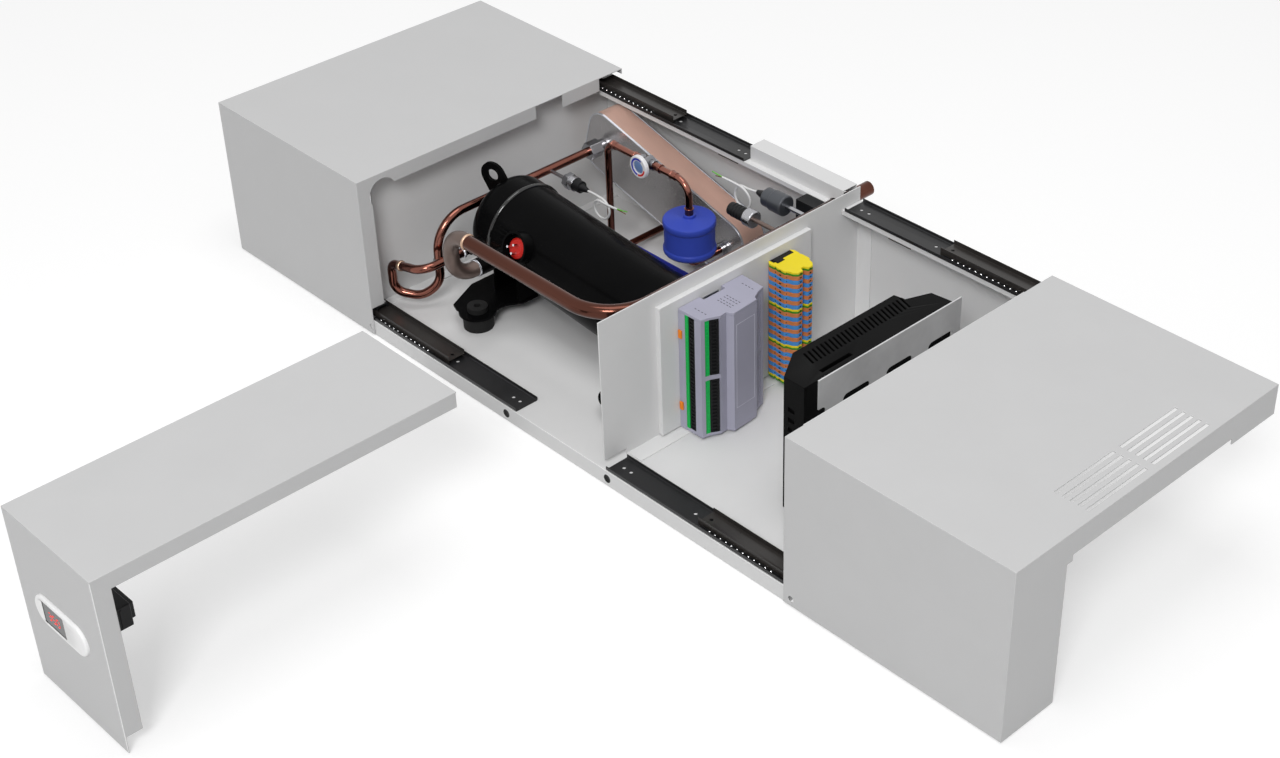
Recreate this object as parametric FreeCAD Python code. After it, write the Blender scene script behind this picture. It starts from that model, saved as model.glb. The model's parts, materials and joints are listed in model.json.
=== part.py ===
"""Refrigeration condensing unit with two sliding hoods and a lift-off middle cover.

The frame has +X along the slides, +Y away from the near face and +Z up. The
origin is the middle of the lower edge of the chassis's near skirt. The pieces
are drawn about the unit's middle plane, the covers closed and then moved to
their open places, and the finished set is shifted to the origin.
"""

import FreeCAD
import Part
import math
import os

V = FreeCAD.Vector

# Sheet metal and running clearances
sheet = 1.5
gap = 0.3
cover_gap = 0.3
hood_clearance = 0.6

# Overall sizes
outer_width = 450.0
outer_height = 230.0
left_hood_length = 309.0
right_hood_length = 315.0
middle_width = 170.0
floor_top = 22.0
ledge_top = outer_height - 23.0

# Travel of the covers, from closed to the places shown
left_travel = 276.0
right_travel = 308.0
cover_travel = 644.0

# Planes that the other pieces follow
total_length = left_hood_length + middle_width + right_hood_length
left_outer = -total_length / 2
right_outer = total_length / 2
left_seam = left_outer + left_hood_length
right_seam = left_seam + middle_width
near_face = -outer_width / 2
far_face = outer_width / 2
chassis_near = near_face + sheet + hood_clearance
chassis_far = far_face - sheet - hood_clearance
chassis_left = left_outer + sheet + 0.5
chassis_right = right_outer - sheet - 0.5
hood_underside = outer_height - sheet

# Ball slides
slide_width = 35.0
slide_length = 295.0
slide_inner_length = 278.0
member_sheet = 1.2
middle_sheet = 0.9
fixed_height = 5.4
inner_top = 14.4
ball_radius = 1.5
ball_level = 4.0
outer_ball_offset = 14.5
inner_ball_offset = 10.3
ball_clearance = 0.25
middle_web = 6.0
middle_top = 12.8
cage_length = 125.0
cage_inset = 8.0
cage_sheet = 0.6
ball_pitch = 9.0
slide_hole_radius = 2.3
slide_holes = (13.0, 25.5, 136.6)
near_slide_y = chassis_near + 0.5 + slide_width / 2
far_slide_y = chassis_far - 0.5 - slide_width / 2
left_near_slide_end = -75.0
left_far_slide_end = left_seam - 0.5
right_slide_end = right_seam + 10.0

# Hood flanges
inner_return_width = 21.0
inner_lip_depth = 20.0
inner_return_bottom = 41.0
pipe_relief_radius = 20.7
pipe_notch_half = 23.4
lip_far_end = 183.0
outer_return_width = 85.0
outer_lip_depth = 32.0
outer_far_lip_depth = 40.0
outer_far_lip_start = 144.0
far_downturn = 8.0
near_hood_bottom = 1.0
lock_hole_radius = 4.2
lock_hole_inset = 12.0
lock_hole_level = 10.5
bracket_leg = 17.0

# Vent slots of the right hood
vent_rows = 5
vent_pitch = 10.2
vent_width = 4.2
vent_first = 11.9
vent_length = 98.5
vent_bridge = 11.0
vent_centre_y = 5.6

# Middle cover and its display
cover_return_bottom = floor_top + gap
cover_left_return_bottom = 36.0
cover_hem = 7.5
bezel_length = 100.0
bezel_height = 38.0
bezel_depth = 4.0
bezel_level = outer_height / 2 + 9.0
window_length = 42.0
window_height = 28.0
window_shift = -12.0
module_length = 71.0
module_height = 29.0
module_depth = 58.0
connector_half = 30.0
cutout_clearance = 0.3

# Far wall
bridge_depth = 25.3
bridge_top = outer_height - sheet - gap
wall_slot_length = 38.0
wall_slot_height = 6.0
wall_slot_level = outer_height - 58.0
wall_slot_inset = 45.0

# Partition and mounting plate
partition_x = right_seam + 2.5
partition_top = outer_height - 2.8
partition_near = near_face + 6.5
partition_notch_depth = 35.0
partition_notch_top = 30.6
flange_width = 25.0
plate_gap = 6.0
plate_near = -130.5
plate_far = 126.0
plate_top = outer_height - 21.0
rail_width = 35.0
rail_depth = 7.5
rail_sheet = 1.0
rail_top = outer_height - 36.0

# Compressor
shell_radius = 61.5
cap_radius = 62.5
compressor_y = -36.5
compressor_z = 116.7
compressor_left = -315.0
compressor_right = 25.0
compressor_tilt = 5.26
compressor_pivot = -170.0
cap_length = 46.0
cap_round = 22.0
terminal_x = -208.0
terminal_angle = 156.3
fence_radius = 22.0
fence_wall = 3.0
fence_height = 14.0
terminal_radius = 13.5
terminal_recess = 6.0
pin_radius = 1.6
pin_length = 9.0
pin_circle = 6.5
lug_width = 36.0
lug_sheet = 4.0
lug_hole_radius = 8.2
lug_y = -45.0
lug_top = 208.0
lug_length = 58.0
lug_slant = 28.0
lug_turn = 17.0
foot_width = 50.0
foot_sheet = 3.0
foot_spacing = 191.0
foot_bottom = 43.0
foot_inset = 56.0
foot_spread = 2.0
foot_corner = 33.0
foot_corner_drop = 18.0
foot_waist = 15.0
foot_neck = 34.0
foot_flare = 30.0
foot_web_inset = 14.0
foot_right_inset = 10.0
grommet_radius = 20.0
grommet_neck = 12.0
grommet_cap_radius = 13.5
grommet_cap_height = 7.0
grommet_bore = 4.5

# Suction line
suction_radius = 9.55
suction_wall = 1.2
elbow_step = 0.6
stub_bore = 60.0
suction_level = outer_height - 29.0
suction_near_y = near_face + 38.8
suction_right_x = 65.7
suction_elbow_x = -230.0
suction_elbow_bend = 32.0
suction_bend = 64.0
suction_joint_x = -193.0
suction_port_level = 131.0
suction_port_radius = 11.5
suction_port_face = -150.0
suction_stub_end = far_face + 36.0
pipe_hole_clearance = 0.7

# Discharge line
discharge_radius = 6.0
discharge_port_x = -305.0
discharge_port_z = 106.0
discharge_port_radius = 8.0
discharge_port_length = 14.0
discharge_near_y = near_face + 45.0
discharge_elbow_x = -374.0
discharge_elbow_z = 88.0
discharge_low_z = 46.0
discharge_riser_y = -135.0
discharge_bends = [20.0, 14.0, 18.0, 30.0, 30.0, 46.0]
process_port_x = -285.0
process_port_z = 95.0
process_port_radius = 5.5

# Plate heat exchanger
hx_length = 310.0
hx_height = 92.0
hx_tilt = -15.4
hx_x = -212.9
hx_z = 118.4
hx_wall_space = 69.7
hx_front = far_face - hx_wall_space
hx_depth = 43.0
hx_cover = 3.0
hx_round = 28.0
hx_port_inset = 33.2
hx_port_radius = 9.0
hx_port_length = 8.0
hx_rim = 1.4
stud_radius = 4.0
nut_length = 20.0
nut_across = 22.0
plate_count = 8

# Liquid line
liquid_radius = 4.75
liquid_wall = 1.0
liquid_y = 96.0
liquid_level = outer_height - 20.5
liquid_riser_x = -250.7
liquid_low_z = 38.0
liquid_bend = 16.0
liquid_stub = 15.0
collar_radius = 6.6
collar_length = 12.0
drier_x = hx_x + (hx_length / 2 - hx_port_inset) * math.cos(math.radians(hx_tilt))
drier_radius = 35.0
drier_waist = 33.0
drier_rim = 9.0
drier_bottom = 107.6
drier_top = 158.7
drier_dome = 4.0
drier_neck_radius = 8.0
drier_neck = 5.0
drier_elbow_bend = 22.0
drier_inlet_bend = 12.0
sight_x = -171.5
sight_body_radius = 13.0
sight_body_length = 26.0
sight_reach = 13.0
sight_ring_radius = 15.5
sight_ring_depth = 5.0
sight_lens_radius = 10.5

# Blue foot rail of the heat exchanger
foot_rail_y = hx_front - 17.8
foot_rail_height = 10.0
foot_rail_sheet = 2.0
foot_rail_base = 7.0
foot_rail_left = -260.0
foot_rail_right = -15.0
saddle_half = 10.0

# Pressure sensors
sensor_a_y = 57.6
sensor_b_y = 100.8
sensor_c_wall_space = 72.0
sensor_c_y = far_face - sensor_c_wall_space
sensor_level = suction_level
stem_radius = 2.6
sensor_a_barrel = 51.0
sensor_a_cap = 62.0
sensor_a_length = 75.0
sensor_c_shoulder = 54.0
sensor_c_gland = 68.0
sensor_c_length = 84.0
lead_radius = 1.6

# Pipe clamp on the partition
clamp_y = far_face - 57.0
clamp_thick = 20.0
clamp_left = 26.0
clamp_above = 5.5
clamp_bottom = suction_level - 30.0
clamp_clearance = 0.3

# Controller on its rail
controller_y = -48.5
controller_half = 53.0
controller_bottom = 25.4
controller_top = outer_height - 32.6
# Points of the controller's plan from its back: out from the rail and along it
controller_flank = [(37.5, 52.0), (40.5, 40.0), (46.5, 28.5)]
controller_nose = [(45.5, -18.0), (54.0, -13.5), (51.5, 27.0)]
inner_pocket = [(39.3, 51.0), (42.3, 40.6), (47.3, 30.8), (42.0, 28.3), (37.0, 38.3), (34.3, 49.8)]
inner_strip = [(37.3, 50.1), (40.1, 40.1), (45.6, 30.3), (42.15, 28.75), (37.25, 38.55), (34.6, 49.6)]
back_clearance = 0.6
connector_depth = 5.0
outer_row = (10.7, 26.8)
latch_width = 9.0
latch_height = 11.0
latch_out = 2.0

# Terminal stack
terminal_y = 69.0
terminal_count = 28
terminal_pitch = 5.96
terminal_bottom = 29.4
terminal_depth = 44.7
terminal_half = 22.0

# Inverter
inverter_front = 264.0
inverter_back = 321.8
inverter_top = outer_height - 23.0
inverter_near = -123.5
inverter_far = 127.0
inverter_plan = [(264.0, -82.5), (290.0, inverter_near), (inverter_back, inverter_near),
                 (inverter_back, inverter_far), (292.0, 123.5), (279.5, 91.5), (264.0, 88.5)]
inverter_vents = 25
inverter_vent_pitch = 6.8
inverter_vent_length = 22.0
inverter_vent_width = 2.6
inverter_vent_depth = 4.0
inverter_vent_x = 284.5
inverter_vent_y = 3.8
inverter_vent_turn = -17.0
inverter_slot_length = 50.0
inverter_slot_width = 6.0
inverter_slot_x = 312.0
inverter_slot_y = -87.0
inverter_side_vent = 297.0
inverter_side_width = 10.0
sink_sheet = 2.0
sink_near = -102.0
sink_far = 142.0
sink_slot_length = 45.0
sink_slot_pitch = 73.1
sink_slot_first = -38.6
sink_slot_height = 14.0
sink_slot_top = outer_height - 63.0
sink_foot = 20.0


# Shapes that every group uses

def block(x0, x1, y0, y1, z0, z1):
    """Box between two opposite corners."""
    return Part.makeBox(x1 - x0, y1 - y0, z1 - z0, V(x0, y0, z0))


def rod(start, direction, radius, length):
    """Round bar from a start point along a direction."""
    return Part.makeCylinder(radius, length, V(*start), V(*direction))


def fuse(shapes):
    """Joins shapes into one solid and cleans its seams."""
    body = shapes[0]
    if len(shapes) > 1:
        body = body.fuse(shapes[1:])
    return body.removeSplitter()


def prism(points, direction):
    """Closed outline of points, extruded along a direction."""
    corners = [V(*point) for point in points]
    corners.append(corners[0])
    return Part.Face(Part.makePolygon(corners)).extrude(V(*direction))


def moved(shape, x=0.0, y=0.0, z=0.0):
    """Copy of a shape at another place."""
    copy = shape.copy()
    copy.translate(V(x, y, z))
    return copy


def rounded_bar(x0, x1, y0, y1, z_level, half_height, direction_y):
    """Bar whose ends along X are half rounds, standing in the XZ plane."""
    centre = (y0 + y1) / 2
    depth = abs(y1 - y0)
    start = centre - direction_y * depth / 2
    body = block(x0 + half_height, x1 - half_height, min(y0, y1), max(y0, y1),
                 z_level - half_height, z_level + half_height)
    ends = [rod((x, start, z_level), (0, direction_y, 0), half_height, depth)
            for x in (x0 + half_height, x1 - half_height)]
    return fuse([body] + ends)


def bend_wire(points, radii):
    """Straight runs joined by tangent arcs, one radius for each inner point."""
    points = [V(*point) for point in points]
    edges = []
    start = points[0]
    for before, corner, after, radius in zip(points, points[1:], points[2:], radii):
        inward = (corner - before).normalize()
        outward = (after - corner).normalize()
        turn = inward.getAngle(outward)
        setback = radius * math.tan(turn / 2)
        first = corner - inward * setback
        last = corner + outward * setback
        towards = (outward - inward).normalize()
        centre = corner + towards * (radius / math.cos(turn / 2))
        middle = centre - towards * radius
        if (first - start).Length > 1e-6:
            edges.append(Part.LineSegment(start, first).toShape())
        edges.append(Part.Arc(first, middle, last).toShape())
        start = last
    edges.append(Part.LineSegment(start, points[-1]).toShape())
    return Part.Wire(edges)


def sweep(wire, radius):
    """Round bar along a bent wire."""
    first = wire.Edges[0]
    start = first.valueAt(first.FirstParameter)
    tangent = first.tangentAt(first.FirstParameter)
    outline = Part.Wire([Part.makeCircle(radius, start, tangent)])
    return wire.makePipeShell([outline], True, True)


def tube(points, radii, radius):
    """Bent pipe through a list of corner points."""
    return sweep(bend_wire(points, radii), radius)


def hexagon(start, direction, across, length):
    """Hexagonal bar along X or Y."""
    axis = V(*direction)
    up = V(0, 0, 1)
    side = axis.cross(up)
    corner = across / math.sqrt(3)
    points = []
    for step in range(6):
        angle = math.radians(60 * step)
        points.append(tuple(V(*start) + side * (corner * math.cos(angle))
                            + up * (corner * math.sin(angle))))
    return prism(points, tuple(axis * length))


# Chassis

def suction_hole():
    """Clearance cylinder round the suction line where it leaves the unit."""
    return rod((suction_right_x, far_face - 45, suction_level), (0, 1, 0),
               suction_radius + pipe_hole_clearance, 60)


def liquid_hole():
    """Clearance cylinder round the liquid line where it leaves the unit."""
    return rod((liquid_riser_x, far_face - 20, liquid_low_z), (0, 1, 0),
               liquid_radius + pipe_hole_clearance, 40)


def lock_holes(depth):
    """Screw holes that line up in the tray and the hoods when these are closed."""
    start = near_face - 1
    return [rod((x, start, lock_hole_level), (0, 1, 0), lock_hole_radius, depth)
            for x in (left_seam - lock_hole_inset / 2, right_seam + lock_hole_inset)]


def base_tray():
    """Inverted pan: flat floor with a skirt on three sides."""
    floor = block(chassis_left, chassis_right, chassis_near, chassis_far - sheet,
                  floor_top - sheet, floor_top)
    near_skirt = block(chassis_left, chassis_right, chassis_near, chassis_near + sheet,
                       0, floor_top)
    left_skirt = block(chassis_left, chassis_left + sheet, chassis_near,
                       chassis_far - sheet, 0, floor_top)
    right_skirt = block(chassis_right - sheet, chassis_right, chassis_near,
                        chassis_far - sheet, 0, floor_top)
    tray = fuse([floor, near_skirt, left_skirt, right_skirt])
    return tray.cut(lock_holes(10.0))


def far_wall():
    """Back wall, the ledge that carries the far slides and the bridge between them."""
    inside = chassis_far - sheet
    ledge_edge = far_slide_y - slide_width / 2 + 1.5
    wall = block(chassis_left, chassis_right, inside, chassis_far, 0, ledge_top)
    ledge = block(chassis_left, chassis_right, ledge_edge, chassis_far,
                  ledge_top - sheet, ledge_top)
    lip = block(chassis_left + 3, chassis_right - 3, ledge_edge, ledge_edge + sheet,
                ledge_top - 7, ledge_top)
    bridge_left = left_seam + sheet + 1
    bridge_right = right_seam - sheet - 1
    bridge = block(bridge_left, bridge_right, chassis_far - bridge_depth, chassis_far,
                   ledge_top - sheet, bridge_top)
    hollow = block(bridge_left - 1, bridge_right + 1, chassis_far - bridge_depth + sheet,
                   chassis_far - sheet, ledge_top, bridge_top - sheet)
    wall = fuse([wall, ledge, lip, bridge.cut(hollow)])
    slots = []
    for start in (left_seam - wall_slot_inset - wall_slot_length,
                  partition_x + wall_slot_inset + 7):
        slots.append(block(start, start + wall_slot_length, inside - 1, chassis_far + 1,
                           wall_slot_level, wall_slot_level + wall_slot_height))
    return wall.cut(slots + [suction_hole(), liquid_hole()])


def end_wall(side):
    """End wall on the tray, with a foot flange inwards; side is -1 or 1."""
    outer = chassis_left if side < 0 else chassis_right
    near = near_slide_y + slide_width / 2 + 1.4
    far_low = chassis_far - sheet
    far_high = far_slide_y - slide_width / 2 - 1.4
    outline = [(outer, near, floor_top), (outer, far_low, floor_top),
               (outer, far_low, ledge_top - 9), (outer, far_high, ledge_top - 9),
               (outer, far_high, outer_height - 10), (outer, near, outer_height - 10)]
    wall = prism(outline, (-side * sheet, 0, 0))
    inner = outer - side * 15
    foot = block(min(outer, inner), max(outer, inner), near, far_low,
                 floor_top, floor_top + sheet)
    top = block(min(outer, inner), max(outer, inner), near, far_high,
                outer_height - 10 - sheet, outer_height - 10)
    return fuse([wall, foot, top])


def partition():
    """Wall between the bays, with a foot flange and a flange on the back wall."""
    x0 = partition_x
    x1 = partition_x + sheet
    inside = chassis_far - sheet
    ledge_edge = far_slide_y - slide_width / 2 + 1.5
    notch_y = partition_near + partition_notch_depth
    outline = [(x0, partition_near, partition_notch_top), (x0, notch_y, partition_notch_top),
               (x0, notch_y, floor_top), (x0, inside, floor_top),
               (x0, inside, ledge_top - 7.3), (x0, ledge_edge - gap, ledge_top - 7.3),
               (x0, ledge_edge - gap, ledge_top + gap), (x0, chassis_far, ledge_top + gap),
               (x0, chassis_far, partition_top), (x0, partition_near, partition_top)]
    wall = prism(outline, (sheet, 0, 0))
    foot = block(x0, x0 + flange_width, notch_y + 2, inside, floor_top, floor_top + sheet)
    back = block(x0, x0 + flange_width, inside - sheet, inside, floor_top, ledge_top - 9)
    return fuse([wall, foot, back])


def mounting_plate():
    """Folded plate on the partition that carries the two rails."""
    x0 = partition_x + sheet
    x1 = x0 + plate_gap + sheet
    plate = block(x1 - sheet, x1, plate_near, plate_far, floor_top + 3, plate_top)
    folds = []
    for y in (plate_near, plate_far - sheet):
        folds.append(block(x0, x1, y, y + sheet, floor_top + 3, plate_top))
    folds.append(block(x0, x1, plate_near, plate_far, plate_top - sheet, plate_top))
    return fuse([plate] + folds)


def rail_face():
    """X of the plate face that the rails stand on."""
    return partition_x + sheet + plate_gap + sheet


def din_rails():
    """Two hat rails, upright on the mounting plate."""
    rails = []
    for centre in (controller_y, terminal_y):
        x0 = rail_face()
        x1 = x0 + rail_depth
        half = rail_width / 2
        hat = half - 4.5
        web = block(x0, x0 + rail_sheet, centre - hat, centre + hat, floor_top + 4, rail_top)
        sides = []
        for side in (-1, 1):
            edge = centre + side * hat
            inner = edge - side * rail_sheet
            tip = centre + side * half
            sides.append(block(x0, x1, min(edge, inner), max(edge, inner),
                               floor_top + 4, rail_top))
            sides.append(block(x1 - rail_sheet, x1, min(inner, tip), max(inner, tip),
                               floor_top + 4, rail_top))
        rails.append(fuse([web] + sides))
    return Part.makeCompound(rails)


# Ball slides

def mirror_profile(points):
    """Outline of one half, from the middle outwards, completed on the other side."""
    return points + [(-y, z) for y, z in reversed(points)]


def channel(points, length):
    """Slide member with a symmetric outline in Y and Z, extruded along X."""
    outline = [(0, y, z) for y, z in mirror_profile(points)]
    return prism(outline, (length, 0, 0))


def fixed_profile():
    """Low channel whose walls are the outer raceways."""
    half = slide_width / 2
    wall = member_sheet
    return [(0, 0), (half - 1.2, 0), (half, 1.2), (half, fixed_height),
            (half - wall, fixed_height), (half - wall, wall + 0.8),
            (half - wall - 0.8, wall), (0, wall)]


def middle_profile():
    """Two walls on a raised web: balls run below it outside and above it inside."""
    outside = outer_ball_offset - ball_radius - ball_clearance
    inside = inner_ball_offset + ball_radius + ball_clearance
    base = member_sheet + 1.1
    web = middle_web + middle_sheet
    return [(0, middle_web), (inside, middle_web), (inside, base), (outside, base),
            (outside, middle_top), (inside, middle_top), (inside, web), (0, web)]


def inner_profile():
    """Hat that rides between the middle member's flanges, open downwards."""
    outside = inner_ball_offset - ball_radius - ball_clearance
    wall = 1.0
    bottom = middle_web + middle_sheet + 0.8
    return [(0, inner_top - wall), (outside - wall - 0.5, inner_top - wall),
            (outside - wall, inner_top - wall - 0.5), (outside - wall, bottom),
            (outside, bottom), (outside, inner_top - 0.8), (outside - 0.8, inner_top),
            (0, inner_top)][::-1]


def fixed_member(inward):
    """Fixed member from X 0 to its length; inward is the end with the stop, -1 or 1."""
    member = channel(fixed_profile(), slide_length)
    holes = []
    for distance in slide_holes + (slide_length - 13.0,):
        x = distance if inward < 0 else slide_length - distance
        holes.append(rod((x, 0, -1), (0, 0, 1), slide_hole_radius, 4))
    return member.cut(holes)


def middle_member(inward):
    """Middle member with one hole near its inward end."""
    member = channel(middle_profile(), slide_length)
    x = 9.0 if inward < 0 else slide_length - 9.0
    return member.cut(rod((x, 0, 0), (0, 0, 1), slide_hole_radius, middle_top))


def inner_member():
    """Inner member that the hood is fixed to."""
    return channel(inner_profile(), slide_inner_length)


def cage():
    """Ball cage between the fixed and the middle member, with a window for each ball."""
    level = member_sheet + 0.2
    half = outer_ball_offset + cage_sheet / 2
    pieces = [block(0, cage_length, -half, half, level, level + cage_sheet)]
    windows = []
    count = int((cage_length - ball_pitch) / ball_pitch)
    first = (cage_length - (count - 1) * ball_pitch) / 2
    for side in (-1, 1):
        inner = side * (half - cage_sheet)
        outer = side * half
        pieces.append(block(0, cage_length, min(inner, outer), max(inner, outer), level,
                            ball_level + ball_radius + 0.7))
        for index in range(count):
            x = first + index * ball_pitch
            windows.append(block(x - ball_radius - 0.1, x + ball_radius + 0.1,
                                 min(inner, outer) - 1, max(inner, outer) + 1,
                                 ball_level - ball_radius - 0.1, ball_level + ball_radius + 0.1))
    return fuse(pieces).cut(windows)


def slide_places():
    """Name, inward side, X of the inward end, Y, Z and travel of each slide."""
    return [
        ("left_near", 1, left_near_slide_end, near_slide_y, floor_top, -left_travel),
        ("left_far", 1, left_far_slide_end, far_slide_y, ledge_top, -left_travel),
        ("right_near", -1, right_slide_end, near_slide_y, floor_top, right_travel),
        ("right_far", -1, right_slide_end, far_slide_y, ledge_top, right_travel),
    ]


def add_slides(nodes):
    """Four slides; the middle member moves by half and the cage by a quarter."""
    for name, inward, end, y, z, travel in slide_places():
        start = end - slide_length if inward > 0 else end
        outer_end = start if inward > 0 else start + slide_length
        inner_start = outer_end if inward > 0 else outer_end - slide_inner_length
        open_mid = start + travel / 2
        cage_start = start + cage_inset / 2 if inward > 0 else outer_end - cage_length - cage_inset
        nodes[name + "_fixed_member"] = moved(fixed_member(inward), start, y, z)
        nodes[name + "_middle_member"] = moved(middle_member(inward), open_mid, y, z)
        nodes[name + "_inner_member"] = moved(inner_member(), inner_start + travel, y, z)
        nodes[name + "_ball_cage"] = moved(cage(), cage_start, y, z)


# Hoods and middle cover

def hood_brackets(x0, x1):
    """Angle over the near slide and channel over the far one, welded to the hood."""
    near_inside = near_face + sheet
    inner_half = inner_ball_offset - ball_radius - ball_clearance
    foot_z = floor_top + inner_top
    near_leg = block(x0, x1, near_inside, near_inside + sheet, foot_z, foot_z + bracket_leg)
    near_foot = block(x0, x1, near_inside, near_slide_y + inner_half, foot_z, foot_z + sheet)
    seat_z = ledge_top + inner_top
    far_base = block(x0, x1, far_slide_y - inner_half, far_slide_y + inner_half,
                     seat_z, seat_z + sheet)
    webs = []
    for y in (far_slide_y - inner_half, far_slide_y + inner_half - sheet):
        webs.append(block(x0, x1, y, y + sheet, seat_z, hood_underside))
    return [near_leg, near_foot, far_base] + webs


def hood_skin(x0, x1):
    """Top and near face of a hood, with the small downturn on the far edge."""
    top = block(x0, x1, near_face, far_face, hood_underside, outer_height)
    near = block(x0, x1, near_face, near_face + sheet, near_hood_bottom, outer_height)
    downturn = block(x0, x1, far_face - sheet, far_face, outer_height - far_downturn,
                     outer_height)
    return [top, near, downturn]


def outer_end_flange(x0, x1):
    """Wide return beside the near face and the stepped lip under the top."""
    step = 8.5
    near_end = near_face + outer_return_width
    low = outer_height - outer_far_lip_depth
    high = outer_height - outer_lip_depth
    outline = [(x0, near_face, near_hood_bottom), (x0, near_end, near_hood_bottom),
               (x0, near_end, low), (x0, near_end + step, low), (x0, near_end + step, high),
               (x0, outer_far_lip_start, high), (x0, outer_far_lip_start, low),
               (x0, far_face, low), (x0, far_face, outer_height),
               (x0, near_face, outer_height)]
    return prism(outline, (x1 - x0, 0, 0))


def inner_edge_flange(x0, x1):
    """Return and lip of the left hood's open edge, cut away where the pipes pass."""
    lip_bottom = outer_height - inner_lip_depth
    ret = block(x0, x1, near_face, near_face + inner_return_width, inner_return_bottom,
                outer_height)
    lip = block(x0, x1, near_face, lip_far_end, lip_bottom, outer_height)
    relief = rod((x0 - 1, suction_near_y, suction_level), (1, 0, 0), pipe_relief_radius,
                 x1 - x0 + 2)
    notch_y = liquid_y - 2.8
    notch = block(x0 - 1, x1 + 1, notch_y - pipe_notch_half, notch_y + pipe_notch_half,
                  lip_bottom - 1, hood_underside)
    lip = lip.cut([relief, notch])
    return fuse([lip, ret.cut(relief)])


def left_hood():
    """Left hood, over the compressor bay when closed."""
    x0 = left_outer
    x1 = left_seam - cover_gap
    member_start = left_near_slide_end - slide_length
    pieces = hood_skin(x0, x1)
    pieces.append(outer_end_flange(x0, x0 + sheet))
    pieces.append(inner_edge_flange(x1 - sheet, x1))
    pieces += hood_brackets(member_start + 2, x1 - sheet - 6)
    hood = fuse(pieces).cut(lock_holes(3.0))
    return moved(hood, x=-left_travel)


def vent_cuts():
    """Two groups of narrow slots in the right hood's top."""
    cuts = []
    for row in range(vent_rows):
        x = right_outer - vent_first - row * vent_pitch
        for side in (-1, 1):
            centre = vent_centre_y + side * (vent_bridge + vent_length) / 2
            cuts.append(block(x - vent_width / 2, x + vent_width / 2,
                              centre - vent_length / 2, centre + vent_length / 2,
                              hood_underside - 1, outer_height + 1))
    return cuts


def right_hood():
    """Right hood, over the electrical bay when closed."""
    x0 = right_seam + cover_gap
    x1 = right_outer
    member_start = right_slide_end + slide_length - slide_inner_length
    pieces = hood_skin(x0, x1)
    pieces.append(outer_end_flange(x1 - sheet, x1))
    pieces += hood_brackets(member_start + 2, member_start + slide_inner_length - 2)
    hood = fuse(pieces).cut(lock_holes(3.0) + vent_cuts())
    return moved(hood, x=right_travel)


def middle_cover():
    """Cover of the middle bay with returns and lips on both sides."""
    x0 = left_seam + cover_gap
    x1 = right_seam - cover_gap
    top = block(x0, x1, near_face, far_face, hood_underside, outer_height)
    near = block(x0, x1, near_face, near_face + sheet, near_hood_bottom, outer_height)
    far = far_face - 1
    pieces = [top, near]
    for x, bottom, depth in ((x0, cover_left_return_bottom, cover_hem),
                             (x1 - sheet, cover_return_bottom, inner_lip_depth)):
        pieces.append(block(x, x + sheet, near_face, near_face + inner_return_width,
                            bottom, outer_height))
        pieces.append(block(x, x + sheet, near_face, far, outer_height - depth, outer_height))
    cover = fuse(pieces)
    half = module_length / 2 + cutout_clearance
    tall = module_height / 2 + cutout_clearance
    centre = display_x()
    cutout = block(centre - half, centre + half, near_face - 1, near_face + sheet + 1,
                   bezel_level - tall, bezel_level + tall)
    return moved(cover.cut(cutout), y=-cover_travel)


def display_x():
    """X of the display, at the middle of the cover's near face."""
    return (left_seam + right_seam) / 2


def display_unit():
    """Bezel with round ends in front of the cover and the module behind it."""
    x = display_x()
    front = near_face - bezel_depth
    bezel = rounded_bar(x - bezel_length / 2, x + bezel_length / 2, front, near_face,
                        bezel_level, bezel_height / 2, 1)
    bezel = bezel.makeFillet(1.5, [edge for edge in bezel.Edges
                                   if abs(edge.BoundBox.YMax - front) < 0.01])
    wx = x + window_shift
    pocket = block(wx - window_length / 2, wx + window_length / 2, front - 1, front + 1.6,
                   bezel_level - window_height / 2, bezel_level + window_height / 2)
    module = block(x - module_length / 2, x + module_length / 2, near_face,
                   near_face + module_depth, bezel_level - module_height / 2,
                   bezel_level + module_height / 2)
    shoulder = block(x - connector_half, x + connector_half,
                     near_face + module_depth, near_face + module_depth + 6,
                     bezel_level - module_height / 2 + 4, bezel_level + module_height / 2 - 4)
    return moved(fuse([bezel.cut(pocket), module, shoulder]), y=-cover_travel)


def display_window():
    """Dark window set into the bezel."""
    x = display_x() + window_shift
    front = near_face - bezel_depth
    half = window_length / 2 - 0.2
    tall = window_height / 2 - 0.2
    window = block(x - half, x + half, front + 0.5, front + 1.6,
                   bezel_level - tall, bezel_level + tall)
    return moved(window, y=-cover_travel)


# Compressor

def radial(angle):
    """Unit vector across the compressor at an angle from +Y towards +Z."""
    return V(0, math.cos(math.radians(angle)), math.sin(math.radians(angle)))


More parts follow.
